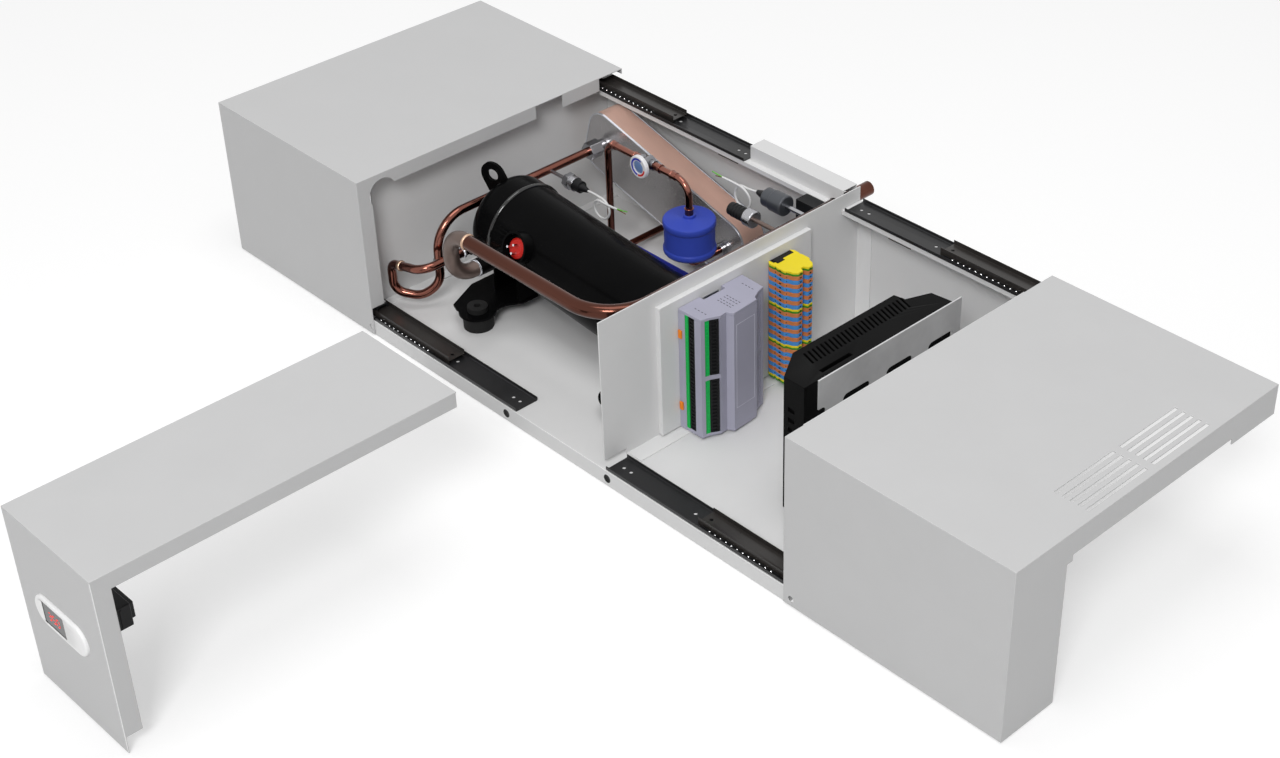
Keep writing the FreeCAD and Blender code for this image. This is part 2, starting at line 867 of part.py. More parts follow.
def shell_body():
    """Drawn steel shell, revolved: two domed caps welded over the barrel."""
    x0 = compressor_left
    x1 = compressor_right
    left_seat = x0 + cap_length
    right_seat = x1 - cap_length
    cap = cap_radius
    r = cap_round
    k = 1 - math.sqrt(0.5)
    edges = [
        Part.LineSegment(V(x0, 0, 0), V(x0, cap - r, 0)).toShape(),
        Part.Arc(V(x0, cap - r, 0), V(x0 + r * k, cap - r * k, 0), V(x0 + r, cap, 0)).toShape(),
        Part.makePolygon([V(x0 + r, cap, 0), V(left_seat, cap, 0),
                          V(left_seat, shell_radius, 0),
                          V(right_seat, shell_radius, 0), V(right_seat, cap, 0),
                          V(x1 - r, cap, 0)]),
        Part.Arc(V(x1 - r, cap, 0), V(x1 - r * k, cap - r * k, 0), V(x1, cap - r, 0)).toShape(),
        Part.makePolygon([V(x1, cap - r, 0), V(x1, 0, 0), V(x0, 0, 0)]),
    ]
    wire = Part.Wire([edge for part in edges for edge in part.Edges])
    solid = Part.Face(wire).revolve(V(0, 0, 0), V(1, 0, 0), 360)
    return moved(solid, 0, compressor_y, compressor_z)


def lifting_lug():
    """Slanting ear with a hole, welded on the crown of the left cap."""
    half = lug_width / 2
    x = compressor_left - lug_sheet / 2
    y = lug_y - lug_sheet / 2
    level = lug_top - half
    slant = math.radians(lug_slant)
    down = V(math.sin(slant), 0, -math.cos(slant)) * lug_length
    across = V(math.cos(slant), 0, math.sin(slant)) * half
    centre = V(x, y, level)
    ear = rod((x, y, level), (0, 1, 0), half, lug_sheet)
    stem = prism([centre + across, centre - across, centre - across + down,
                  centre + across + down], (0, lug_sheet, 0))
    hole = rod((x, y - 1, level), (0, 1, 0), lug_hole_radius, lug_sheet + 2)
    lug = ear.fuse(stem).cut(hole)
    lug.rotate(V(x, lug_y, level), V(0, 0, 1), lug_turn)
    return lug


def axis_level(x):
    """Height of the tilted compressor's axis at a place along the unit."""
    return compressor_z - (x - compressor_pivot) * math.tan(math.radians(compressor_tilt))


def foot(x):
    """Cross plate with a round end at each mount, and two webs up to the shell."""
    half = foot_width / 2
    arm = foot_spacing / 2
    neck = arm - foot_neck
    top = foot_bottom + foot_sheet
    out = -1 if x < compressor_pivot else 1
    tip = arm + foot_corner_drop
    edge = [(0, -tip), (out * (half - 3), -tip), (out * foot_corner, 4 - tip),
            (out * (half + foot_flare), -neck), (out * (half + foot_flare), neck),
            (out * foot_corner, tip - 4), (out * (half - 3), tip), (0, tip), (-out * foot_waist, arm),
            (-out * foot_waist, neck), (-out * (half + foot_spread), neck - 20),
            (-out * (half + foot_spread), 20 - neck), (-out * foot_waist, -neck),
            (-out * foot_waist, -arm)]
    outline = [(x + dx, compressor_y + dy, foot_bottom) for dx, dy in edge]
    pieces = [prism(outline, (0, 0, foot_sheet))]
    for side in (-1, 1):
        pieces.append(rod((x, compressor_y + side * arm, foot_bottom), (0, 0, 1), half, foot_sheet))
    reach = shell_radius * 0.75
    for place in (x - half, x + half - foot_sheet):
        web_x = min(max(place, compressor_left + foot_web_inset), compressor_right - foot_web_inset)
        pieces.append(block(web_x, web_x + foot_sheet, compressor_y - reach, compressor_y + reach,
                            top - 1, axis_level(web_x) - shell_radius * 0.55))
    holes = [rod((x, compressor_y + side * arm, foot_bottom - 1), (0, 0, 1),
                 grommet_neck, foot_sheet + 2) for side in (-1, 1)]
    return fuse(pieces).cut(holes)


def foot_centres():
    """X of the left and the right foot."""
    return (compressor_left + foot_inset, compressor_right - foot_right_inset)


def terminal_seat():
    """Point on the compressor's axis and outward direction of the terminal."""
    return V(terminal_x, compressor_y, axis_level(terminal_x)), radial(terminal_angle)


def compressor_shell():
    """Shell with its welded lug, terminal fence, feet and port stubs."""
    centre, out = terminal_seat()
    boss = Part.makeCylinder(fence_radius, shell_radius + fence_height - 40,
                             centre + out * 40, out)
    pocket = Part.makeCylinder(fence_radius - fence_wall, fence_height + 20,
                               centre + out * (shell_radius + fence_height - terminal_recess
                                               - fence_wall), out)
    fence = boss.cut(pocket)
    shell = shell_body()
    shell.rotate(V(compressor_pivot, compressor_y, compressor_z), V(0, 1, 0), compressor_tilt)
    shell = shell.cut(pocket)
    feet = [foot(x) for x in foot_centres()]
    ports = [
        ring_port(suction_elbow_x, suction_port_level, suction_port_radius, suction_port_face),
        ring_port(discharge_port_x, discharge_port_z, discharge_port_radius,
                  compressor_y - cap_radius - discharge_port_length + 10),
        ring_port(process_port_x, process_port_z, process_port_radius,
                  compressor_y - cap_radius - 18),
    ]
    return fuse([shell, lifting_lug(), fence] + feet + ports)


def ring_port(x, z, radius, face_y):
    """Stub that leaves the shell towards the near face."""
    return rod((x, face_y, z), (0, 1, 0), radius, compressor_y - 30 - face_y)


def terminal_disc():
    """Insulated disc inside the fence."""
    centre, out = terminal_seat()
    base = shell_radius + fence_height - terminal_recess - fence_wall
    disc = Part.makeCylinder(terminal_radius, 3.0, centre + out * (base + 0.1), out)
    dome = Part.makeCone(terminal_radius, terminal_radius - 3, 1.6,
                         centre + out * (base + 3.1), out)
    return disc.fuse(dome).removeSplitter()


def terminal_pins():
    """Three pins in a triangle on the disc."""
    centre, out = terminal_seat()
    side = V(1, 0, 0)
    up = out.cross(side)
    base = shell_radius + fence_height - terminal_recess - fence_wall + 4.7
    pins = []
    for index in range(3):
        angle = math.radians(180 + 120 * index)
        foot_point = centre + out * base + side * (pin_circle * math.cos(angle)) \
            + up * (pin_circle * math.sin(angle))
        pins.append(Part.makeCylinder(pin_radius, pin_length, foot_point, out))
    return Part.makeCompound(pins)


def grommets():
    """Four rubber mounts, each with a neck through its foot and a low cap."""
    mounts = []
    for x in foot_centres():
        for side in (-1, 1):
            y = compressor_y + side * foot_spacing / 2
            base = rod((x, y, floor_top), (0, 0, 1), grommet_radius, foot_bottom - floor_top)
            neck = rod((x, y, foot_bottom), (0, 0, 1), grommet_neck - 0.3, foot_sheet)
            cap = rod((x, y, foot_bottom + foot_sheet), (0, 0, 1), grommet_cap_radius,
                      grommet_cap_height)
            mount = fuse([base, neck, cap])
            bore = rod((x, y, floor_top - 1), (0, 0, 1), grommet_bore, 60)
            mounts.append(mount.cut(bore))
    return Part.makeCompound(mounts)


# Suction and discharge lines

def suction_elbow():
    """Steel elbow that rises from the suction port and turns along the unit."""
    x = suction_elbow_x
    points = [(x, suction_port_face, suction_port_level), (x, suction_near_y, suction_port_level),
              (x, suction_near_y, suction_level), (suction_joint_x, suction_near_y, suction_level)]
    bend = suction_elbow_bend
    return tube(points, [bend, bend], suction_radius + elbow_step)


def suction_line():
    """Large copper line along the near side, round the corner and out at the back."""
    points = [(suction_joint_x, suction_near_y, suction_level),
              (suction_right_x, suction_near_y, suction_level),
              (suction_right_x, suction_stub_end, suction_level)]
    bore = rod(points[-1], (0, -1, 0), suction_radius - suction_wall, stub_bore)
    return tube(points, [suction_bend], suction_radius).cut(bore)


def suction_clamp():
    """Clamp block that holds the suction line to the partition."""
    top = suction_level + clamp_above
    body = block(clamp_left, partition_x, clamp_y, clamp_y + clamp_thick, clamp_bottom, top)
    bore = rod((suction_right_x, clamp_y - 1, suction_level), (0, 1, 0),
               suction_radius + clamp_clearance, clamp_thick + 2)
    return body.cut(bore)


def hx_point(along, up=0.0, y=hx_front):
    """Point of the tilted heat exchanger, measured along and across its plates."""
    angle = math.radians(hx_tilt)
    return (hx_x + along * math.cos(angle) - up * math.sin(angle), y,
            hx_z + along * math.sin(angle) + up * math.cos(angle))


def gas_port():
    """Place of the hot gas port on the front plate."""
    return hx_point(-(hx_length / 2 - hx_port_inset))


def liquid_port():
    """Place of the liquid port on the front plate."""
    return hx_point(hx_length / 2 - hx_port_inset)


def discharge_line():
    """Hot gas line with a loop that takes up vibration."""
    port = gas_port()
    start_y = compressor_y - cap_radius - discharge_port_length + 10
    points = [(discharge_port_x, start_y, discharge_port_z),
              (discharge_port_x, discharge_near_y, discharge_port_z),
              (discharge_elbow_x, discharge_near_y, discharge_elbow_z),
              (discharge_elbow_x, discharge_near_y, discharge_low_z),
              (discharge_elbow_x + 29, discharge_near_y + 22, discharge_low_z - 6),
              (port[0], discharge_riser_y, discharge_low_z + 10),
              (port[0], discharge_riser_y, port[2]),
              (port[0], port[1] - hx_port_length - nut_length, port[2])]
    return tube(points, discharge_bends, discharge_radius)


# Plate heat exchanger

def hx_slab(y0, y1, inset=0.0):
    """Slab with rounded corners, tilted with the heat exchanger."""
    length = hx_length - 2 * inset
    height = hx_height - 2 * inset
    slab = block(-length / 2, length / 2, y0, y1, -height / 2, height / 2)
    corners = [edge for edge in slab.Edges if edge.BoundBox.YLength > (y1 - y0) * 0.9]
    slab = slab.makeFillet(hx_round - inset, corners)
    slab.rotate(V(0, 0, 0), V(0, 1, 0), -hx_tilt)
    return moved(slab, hx_x, 0, hx_z)


def hx_pack():
    """Brazed pack of plates with their rims shown as shallow grooves."""
    y0 = hx_front + hx_cover
    y1 = hx_front + hx_depth - hx_cover
    pitch = (y1 - y0) / plate_count
    slabs = [hx_slab(y0, y1, hx_rim)]
    for index in range(plate_count):
        start = y0 + index * pitch
        slabs.append(hx_slab(start, start + pitch * 0.55, 0.6))
    return fuse(slabs)


def hx_covers():
    """Front and back cover plates."""
    front = hx_slab(hx_front, hx_front + hx_cover)
    back = hx_slab(hx_front + hx_depth - hx_cover, hx_front + hx_depth)
    return Part.makeCompound([front, back])


def hx_fittings():
    """Port collars with the union nut of the hot gas line, and the studs at the back."""
    inside = chassis_far - sheet
    pieces = []
    gas = gas_port()
    liquid = liquid_port()
    collar_front = hx_front - hx_port_length
    collar = rod((gas[0], collar_front, gas[2]), (0, 1, 0), hx_port_radius, hx_port_length)
    nut = hexagon((gas[0], collar_front - nut_length, gas[2]), (0, 1, 0), nut_across,
                  nut_length)
    bore = rod((gas[0], collar_front - nut_length - 1, gas[2]), (0, 1, 0),
               discharge_radius + 0.2, 1.0)
    pieces.append(fuse([collar, nut]).cut(bore))
    pieces.append(rod((liquid[0], collar_front, liquid[2]), (0, 1, 0), hx_port_radius,
                      hx_port_length))
    for along in (-hx_length * 0.36, hx_length * 0.36):
        x, _, z = hx_point(along)
        pieces.append(rod((x, hx_front + hx_depth, z), (0, 1, 0), stud_radius,
                          inside - hx_front - hx_depth))
    return Part.makeCompound(pieces)


def hx_foot_rail():
    """Blue angle on the floor with the saddle that the low corner stands on."""
    y = foot_rail_y
    s = foot_rail_sheet
    base = block(foot_rail_left, foot_rail_right, y - foot_rail_base, y + s, floor_top,
                 floor_top + s)
    upright = block(foot_rail_left, foot_rail_right, y, y + s, floor_top,
                    floor_top + foot_rail_height)
    angle = math.radians(hx_tilt)
    along = hx_length / 2 - hx_round
    down = -(hx_height / 2 - hx_round)
    x, _, z = hx_point(along, down)
    low = z - hx_round - 0.2
    saddle = block(x - saddle_half, x + saddle_half, y, hx_front + hx_depth, floor_top, low)
    inside = block(x - saddle_half + s, x + saddle_half - s, y + s, hx_front + hx_depth + 1,
                   floor_top - 1, low - s)
    return fuse([base, upright, saddle.cut(inside)])


# Liquid line

def drier_inlet():
    """Pipe from the heat exchanger up into the drier's lower end."""
    x, y, z = liquid_port()
    points = [(x, y - hx_port_length, z), (drier_x, liquid_y, z),
              (drier_x, liquid_y, drier_bottom - drier_neck)]
    return tube(points, [drier_inlet_bend], liquid_radius)


def filter_drier():
    """Drier with two pressed rims, a slight waist and a neck at each end."""
    b = drier_bottom
    t = drier_top
    dome = drier_dome
    outline = [V(0, 0, b - drier_neck), V(drier_neck_radius, 0, b - drier_neck),
               V(drier_neck_radius, 0, b - 1), V(drier_radius - dome, 0, b),
               V(drier_radius, 0, b + dome), V(drier_radius, 0, b + drier_rim),
               V(drier_waist, 0, b + drier_rim + 2), V(drier_waist, 0, t - drier_rim - 2),
               V(drier_radius, 0, t - drier_rim), V(drier_radius, 0, t - dome * 0.6),
               V(drier_radius - dome, 0, t), V(drier_neck_radius, 0, t + 1),
               V(drier_neck_radius, 0, t + drier_neck), V(0, 0, t + drier_neck)]
    outline.append(outline[0])
    solid = Part.Face(Part.makePolygon(outline)).revolve(V(0, 0, 0), V(0, 0, 1), 360)
    return moved(solid, drier_x, liquid_y, 0)


def drier_outlet():
    """Pipe from the drier over to the sight glass, with its two brazed collars."""
    top = drier_top + drier_neck
    bend = drier_elbow_bend
    points = [(drier_x, liquid_y, top), (drier_x, liquid_y, liquid_level),
              (sight_x + sight_body_length / 2, liquid_y, liquid_level)]
    pipe = tube(points, [bend], liquid_radius)
    low = rod((drier_x, liquid_y, top), (0, 0, 1), collar_radius, collar_length)
    high = rod((drier_x - bend - collar_length, liquid_y, liquid_level), (1, 0, 0),
               collar_radius, collar_length)
    return fuse([pipe, low, high])


def liquid_outlet():
    """Pipe from the sight glass down and out through the back wall."""
    x = liquid_riser_x
    points = [(sight_x - sight_body_length / 2, liquid_y, liquid_level),
              (x, liquid_y, liquid_level), (x, liquid_y, liquid_low_z),
              (x, chassis_far + liquid_stub, liquid_low_z)]
    bore = rod(points[-1], (0, -1, 0), liquid_radius - liquid_wall, stub_bore)
    return tube(points, [liquid_bend, liquid_bend], liquid_radius).cut(bore)


def sight_glass_body():
    """Sight glass body across the line with the ring that holds its lens."""
    half = sight_body_length / 2
    barrel = rod((sight_x - half, liquid_y, liquid_level), (1, 0, 0), liquid_radius + 2.5,
                 sight_body_length)
    cup = rod((sight_x, liquid_y + 9, liquid_level), (0, -1, 0), sight_body_radius,
              sight_reach + 9)
    rim = rod((sight_x, liquid_y - sight_reach, liquid_level), (0, -1, 0),
              sight_ring_radius, sight_ring_depth)
    pocket = rod((sight_x, liquid_y - sight_reach - 1, liquid_level), (0, -1, 0),
                 sight_lens_radius, sight_ring_depth + 2)
    return fuse([barrel, cup, rim]).cut(pocket)


def sight_glass_lens():
    """Lens set back inside the ring."""
    lens = rod((sight_x, liquid_y - sight_reach - 1, liquid_level), (0, -1, 0),
               sight_lens_radius - 0.2, sight_ring_depth - 0.5)
    return lens


# Pressure sensors and their leads

def sensor_a():
    """High pressure sensor on the hot gas line."""
    gas = gas_port()
    x = gas[0] + discharge_radius
    y = sensor_a_y
    z = gas[2]
    stem = rod((x, y, z), (1, 0, 0), stem_radius, 32)
    flange = rod((x + 30, y, z), (1, 0, 0), 7.5, 4)
    body = hexagon((x + 33, y, z), (1, 0, 0), 20, 9)
    barrel = rod((x + 42, y, z), (1, 0, 0), 10.0, 9)
    gland = rod((x + sensor_a_barrel, y, z), (1, 0, 0), 8.4, sensor_a_cap - sensor_a_barrel)
    tip = Part.makeCone(6.0, 2.6, sensor_a_length - sensor_a_cap, V(x + sensor_a_cap, y, z),
                        V(1, 0, 0))
    return fuse([stem, flange, body, barrel, gland, tip])


def sensor_b():
    """Low pressure sensor with a ribbed plug."""
    x = suction_right_x - suction_radius
    y = sensor_b_y
    z = sensor_level
    stem = rod((x, y, z), (-1, 0, 0), stem_radius, 37)
    body = rod((x - 36, y, z), (-1, 0, 0), 11.6, 15)
    plug = rod((x - 51, y, z), (-1, 0, 0), 8.6, 28)
    ribs = [rod((x - 56 - 5 * index, y, z), (-1, 0, 0), 9.4, 2.4) for index in range(4)]
    return fuse([stem, body, plug] + ribs)


def sensor_c():
    """Second low pressure sensor with a cable gland."""
    x = suction_right_x - suction_radius
    y = sensor_c_y
    z = sensor_level
    stem = rod((x, y, z), (-1, 0, 0), stem_radius + 0.6, 33)
    body = rod((x - 32, y, z), (-1, 0, 0), 14.0, 22)
    shoulder = rod((x - sensor_c_shoulder, y, z), (-1, 0, 0), 12.6,
                   sensor_c_gland - sensor_c_shoulder)
    gland = Part.makeCone(7.5, 3.0, sensor_c_length - sensor_c_gland,
                          V(x - sensor_c_gland, y, z), V(-1, 0, 0))
    return fuse([stem, body, shoulder, gland])


def lead_start(name):
    """Place where a lead leaves its gland, and the way that it runs along X."""
    if name == "a":
        return (gas_port()[0] + discharge_radius + sensor_a_length, sensor_a_y, gas_port()[2]), 1
    return (suction_right_x - suction_radius - sensor_c_length, sensor_c_y, sensor_level), -1


# Route of each lead from its gland: along, towards the near face and up
lead_a_route = [(0, 0, 0), (18, 0.5, 1.2), (37, 0.5, -1), (44.5, 1.2, -14.6), (36.6, 2, -28),
                (21, 3, -28), (13.2, 3.8, -14.4), (22, 4.6, -0.9), (42, 5, -2.2), (62, 4, -0.8)]
lead_c_route = [(0, 0, 0), (15, 0.5, -2.6), (33, 0.5, -1.5), (42, 1.2, -17), (33, 2, -32),
                (16, 3, -32.4), (7, 3.8, -17), (16.6, 4.6, -1.8), (38, 5, 0.4), (60, 4, -1.2)]


def lead(name, route):
    """Free lead as straight runs and arcs, each arc as large as its runs allow."""
    start, way = lead_start(name)
    points = [V(start[0] + way * a, start[1] - n, start[2] + u) for a, n, u in route]
    radii = []
    for before, corner, after in zip(points, points[1:], points[2:]):
        turn = (corner - before).getAngle(after - corner)
        run = min((corner - before).Length, (after - corner).Length)
        radii.append(0.45 * run / math.tan(turn / 2))
    print(name, "lead radii", [round(radius, 1) for radius in radii])
    wire = bend_wire([tuple(point) for point in points], radii)
    solid = sweep(wire, lead_radius)
    section = math.pi * lead_radius ** 2
    print(name, "lead volume share", round(solid.Volume / (section * wire.Length), 4))
    return solid


# Controller, terminals and inverter

def controller_plan(points, z, side=1):
    """Plan points of the controller at a height, on the far or the near side."""
    x0 = rail_face() + back_clearance
    return [(x0 + x, controller_y + side * y, z) for x, y in points]


def controller_housing():
    """Rail-mounted housing with slanted shoulders, a nose and pockets for terminals."""
    z = controller_bottom
    back = [(0.0, controller_half)]
    points = controller_plan(back + controller_flank, z, -1) + controller_plan(controller_nose, z) \
        + controller_plan(controller_flank[::-1] + back, z)
    body = prism(points, (0, 0, controller_top - z))
    groove = block(rail_face() - 1, rail_face() + rail_depth + gap,
                   controller_y - rail_width / 2 - gap, controller_y + rail_width / 2 + gap,
                   z - 1, controller_top + 1)
    return body.cut([groove] + connector_blocks(0.0, inner_pocket))


def connector_blocks(clearance, inner_plan):
    """Terminal strips on both flanks: one straight row and one split row on the shoulder."""
    x0 = rail_face() + back_clearance
    low = controller_bottom + 4 + clearance
    high = controller_top - 4 - clearance
    middle = (low + high) / 2
    strips = []
    for side in (-1, 1):
        outer = controller_y + side * (controller_half + 1)
        inner = controller_y + side * (controller_half - connector_depth + clearance)
        strips.append(block(x0 + outer_row[0] + clearance, x0 + outer_row[1] - clearance,
                            min(outer, inner), max(outer, inner), low, high))
        for z0, z1 in ((low, middle - 3), (middle + 3, high)):
            strips.append(prism(controller_plan(inner_plan, z0, side), (0, 0, z1 - z0)))
    return strips


def controller_connectors():
    """Plug-in terminal strips seated in the housing's pockets."""
    reach = controller_half - 1.0
    keep = block(partition_x, inverter_front, controller_y - reach, controller_y + reach,
                 controller_bottom, controller_top)
    return Part.makeCompound([strip.common(keep) for strip in connector_blocks(0.2, inner_strip)])


def controller_latches():
    """Two spring latches at the back of the near flank."""
    x0 = rail_face() + back_clearance
    flank = controller_y - controller_half
    latches = []
    for z in (controller_bottom + 28, controller_top - 40):
        latches.append(block(x0 + 1, x0 + 1 + latch_width * 0.6, flank - latch_out, flank - 0.05,
                             z, z + latch_height))
    return Part.makeCompound(latches)


def terminal_outline(z):
    """Outline of one rail terminal: foot, shoulders and two wire entries."""
    x0 = rail_face() + back_clearance
    deep = terminal_depth
    half = terminal_half
    right = [(0, half - 3), (4, half), (12, half), (13, half - 1), (16, half - 1), (17, half),
             (30, half), (33, half - 3), (deep - 5, half - 5), (deep, half - 9.5), (deep, 5),
             (deep - 6, 2.5)]
    points = [(x0 + x, terminal_y + y, z) for x, y in right]
    points += [(x0 + x, terminal_y - y, z) for x, y in reversed(right)]
    return points


def terminal_groups():
    """Which layers are protective earth, orange and blue, counted from the top."""
    earth = [0, 9, 18, 27]
    orange = []
    blue = []
    for start in earth[:-1]:
        for index in range(8):
            target = orange if index % 2 == 0 else blue
            target.append(start + 1 + index)
    return {"earth_terminals": earth, "orange_terminals": orange, "blue_terminals": blue}


def terminal_layer(index):
    """One terminal of the stack, with the groove for its rail."""
    top = terminal_bottom + terminal_count * terminal_pitch
    z = top - (index + 1) * terminal_pitch
    layer = prism(terminal_outline(z), (0, 0, terminal_pitch))
    groove = block(rail_face() - 1, rail_face() + rail_depth + gap,
                   terminal_y - rail_width / 2 - gap, terminal_y + rail_width / 2 + gap,
                   z - 1, z + terminal_pitch + 1)
    return layer.cut(groove)


def add_terminals(nodes):
    """Stack of rail terminals, one node for each colour."""
    for name, layers in terminal_groups().items():
        nodes[name] = Part.makeCompound([terminal_layer(index) for index in layers])


def inverter_housing():
    """Housing with tapered front corners, a row of vents and a cable slot on top."""
    z0 = floor_top + gap
    outline = [(x, y, z0) for x, y in inverter_plan]
    body = prism(outline, (0, 0, inverter_top - z0))
    cuts = []
    first = inverter_vent_y - (inverter_vents - 1) * inverter_vent_pitch / 2
    for index in range(inverter_vents):
        y = first + index * inverter_vent_pitch
        slot = block(-inverter_vent_length / 2, inverter_vent_length / 2,
                     -inverter_vent_width / 2, inverter_vent_width / 2,
                     -inverter_vent_depth, 1)
        slot.rotate(V(0, 0, 0), V(0, 0, 1), inverter_vent_turn)
        cuts.append(moved(slot, inverter_vent_x, y, inverter_top))
    slot_x = inverter_slot_x
    cuts.append(block(slot_x - inverter_slot_width / 2, slot_x + inverter_slot_width / 2,
                      inverter_slot_y, inverter_slot_y + inverter_slot_length,
                      inverter_top - 6, inverter_top + 1))
    for index in range(5):
        z = inverter_top - 44 - index * 14
        cuts.append(block(inverter_side_vent, inverter_side_vent + inverter_side_width,
                          inverter_near - 1, inverter_near + 3, z, z + 6))
    return body.cut(cuts)


def heat_sink_plate():
    """Aluminium plate behind the inverter, with round-ended slots and a foot."""
    x0 = inverter_back
    plate = block(x0, x0 + sink_sheet, sink_near, sink_far, floor_top, inverter_top)
    foot_flange = block(x0, x0 + sink_foot, sink_near, sink_far, floor_top,
                        floor_top + sink_sheet)
    cuts = []
    half = sink_slot_height / 2
    level = sink_slot_top - half
    for index in range(-1, 4):
        y = sink_slot_first + index * sink_slot_pitch
        y0 = y - sink_slot_length / 2 + half
        y1 = y + sink_slot_length / 2 - half
        cuts.append(fuse([block(x0 - 1, x0 + sink_sheet + 1, y0, y1, level - half, level + half),
                          rod((x0 - 1, y0, level), (1, 0, 0), half, sink_sheet + 2),
                          rod((x0 - 1, y1, level), (1, 0, 0), half, sink_sheet + 2)]))
    return fuse([plate, foot_flange]).cut(cuts)


def build():
    """All nodes of the unit by name."""
    nodes = {
        "base_tray": base_tray(),
        "far_wall": far_wall(),
        "left_end_wall": end_wall(-1),
        "right_end_wall": end_wall(1),
        "partition": partition(),
        "mounting_plate": mounting_plate(),
        "din_rails": din_rails(),
        "left_hood": left_hood(),
        "right_hood": right_hood(),
        "middle_cover": middle_cover(),
        "display_unit": display_unit(),
        "display_window": display_window(),
        "compressor_shell": compressor_shell(),
        "compressor_terminal_disc": terminal_disc(),
        "compressor_terminal_pins": terminal_pins(),
        "compressor_grommets": grommets(),
        "suction_elbow": suction_elbow(),
        "suction_line": suction_line(),
        "suction_clamp": suction_clamp(),
        "discharge_line": discharge_line(),
        "heat_exchanger_pack": hx_pack(),
        "heat_exchanger_covers": hx_covers(),
        "heat_exchanger_fittings": hx_fittings(),
        "heat_exchanger_foot_rail": hx_foot_rail(),
        "drier_inlet_pipe": drier_inlet(),
        "filter_drier": filter_drier(),
        "drier_outlet_pipe": drier_outlet(),
        "liquid_outlet_pipe": liquid_outlet(),
        "sight_glass_body": sight_glass_body(),
        "sight_glass_lens": sight_glass_lens(),
        "high_pressure_sensor": sensor_a(),
        "low_pressure_sensor": sensor_b(),
        "suction_sensor": sensor_c(),
        "high_pressure_lead": lead("a", lead_a_route),
        "suction_lead": lead("c", lead_c_route),
        "controller_housing": controller_housing(),
        "controller_connectors": controller_connectors(),
        "controller_latches": controller_latches(),
        "inverter_housing": inverter_housing(),
        "heat_sink_plate": heat_sink_plate(),
    }
    add_slides(nodes)
    add_terminals(nodes)
    return nodes


def main():
    """Writes one STEP file for each node."""
    os.makedirs("parts", exist_ok=True)
    nodes = build()
    for name, shape in nodes.items():
        shape.translate(V(0, -(chassis_near + sheet / 2), 0))
        shape.exportStep(os.path.join("parts", name + ".step"))
    print(len(nodes), "nodes")


main()
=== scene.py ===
"""Studio scene of the refrigeration condensing unit.

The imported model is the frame. This file dresses each of its pieces, models the
fine pieces that ride on it, and sets the camera, the floor and the lamps.
"""

import json
import logging
import math
from dataclasses import dataclass, field
from enum import Enum

import bmesh
import bpy
import numpy as np
from mathutils import Matrix, Vector

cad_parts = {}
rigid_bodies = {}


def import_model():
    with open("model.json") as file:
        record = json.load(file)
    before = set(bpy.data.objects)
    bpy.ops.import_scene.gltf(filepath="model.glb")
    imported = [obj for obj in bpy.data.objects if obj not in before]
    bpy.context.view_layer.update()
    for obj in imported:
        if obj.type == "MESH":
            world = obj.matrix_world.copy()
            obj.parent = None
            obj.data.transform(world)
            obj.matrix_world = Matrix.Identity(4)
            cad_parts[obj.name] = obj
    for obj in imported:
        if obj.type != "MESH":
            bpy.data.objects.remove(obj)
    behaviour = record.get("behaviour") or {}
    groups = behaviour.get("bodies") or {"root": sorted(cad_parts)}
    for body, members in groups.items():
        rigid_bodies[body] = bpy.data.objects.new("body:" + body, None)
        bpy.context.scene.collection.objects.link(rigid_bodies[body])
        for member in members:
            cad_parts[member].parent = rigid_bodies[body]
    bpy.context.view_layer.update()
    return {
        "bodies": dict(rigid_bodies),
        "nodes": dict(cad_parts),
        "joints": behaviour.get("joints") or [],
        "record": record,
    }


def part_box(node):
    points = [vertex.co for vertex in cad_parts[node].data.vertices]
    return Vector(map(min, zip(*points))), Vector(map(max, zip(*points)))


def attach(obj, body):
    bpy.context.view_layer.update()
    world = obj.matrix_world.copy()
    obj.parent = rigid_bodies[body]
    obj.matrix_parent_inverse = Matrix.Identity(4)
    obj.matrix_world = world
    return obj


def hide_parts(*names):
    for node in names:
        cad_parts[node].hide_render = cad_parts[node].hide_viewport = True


log = logging.getLogger("condensing_unit")

MM = 0.001
# Distance from the origin, on the near skirt, to the unit's middle plane
MIDDLE = 222.15

Point = tuple[float, float, float]
Colour = tuple[float, float, float]
Pair = tuple[float, float]
Array = np.ndarray
Piece = bpy.types.Object
Socket = bpy.types.NodeSocket
Feed = float | tuple | Socket
Profile = list[Pair]


def at(x: float, y: float, z: float) -> Point:
    """Point of the frame in metres, from millimetres about the unit's middle plane."""
    return (x * MM, (y + MIDDLE) * MM, z * MM)


def at_array(points: Array) -> Array:
    """Frame points in metres, from an array of millimetres about the middle plane."""
    return (points + np.array([0.0, MIDDLE, 0.0])) * MM


def local(point: Point) -> Array:
    """Millimetres about the middle plane, from a frame point in metres."""
    return np.array(point) / MM - np.array([0.0, MIDDLE, 0.0])


def placed(name: str, data: bpy.types.ID) -> Piece:
    """New object in the scene for a mesh, curve, camera or lamp."""
    made = bpy.data.objects.new(name, data)
    bpy.context.scene.collection.objects.link(made)
    return made


class Texture(Enum):
    """Surface textures that a finish can have."""

    COAT = "powder coat"
    BRUSHED = "brushed"
    DRAWN = "drawn tube"
    MOULDED = "moulded"
    PAINT = "paint"
    RUBBER = "rubber"


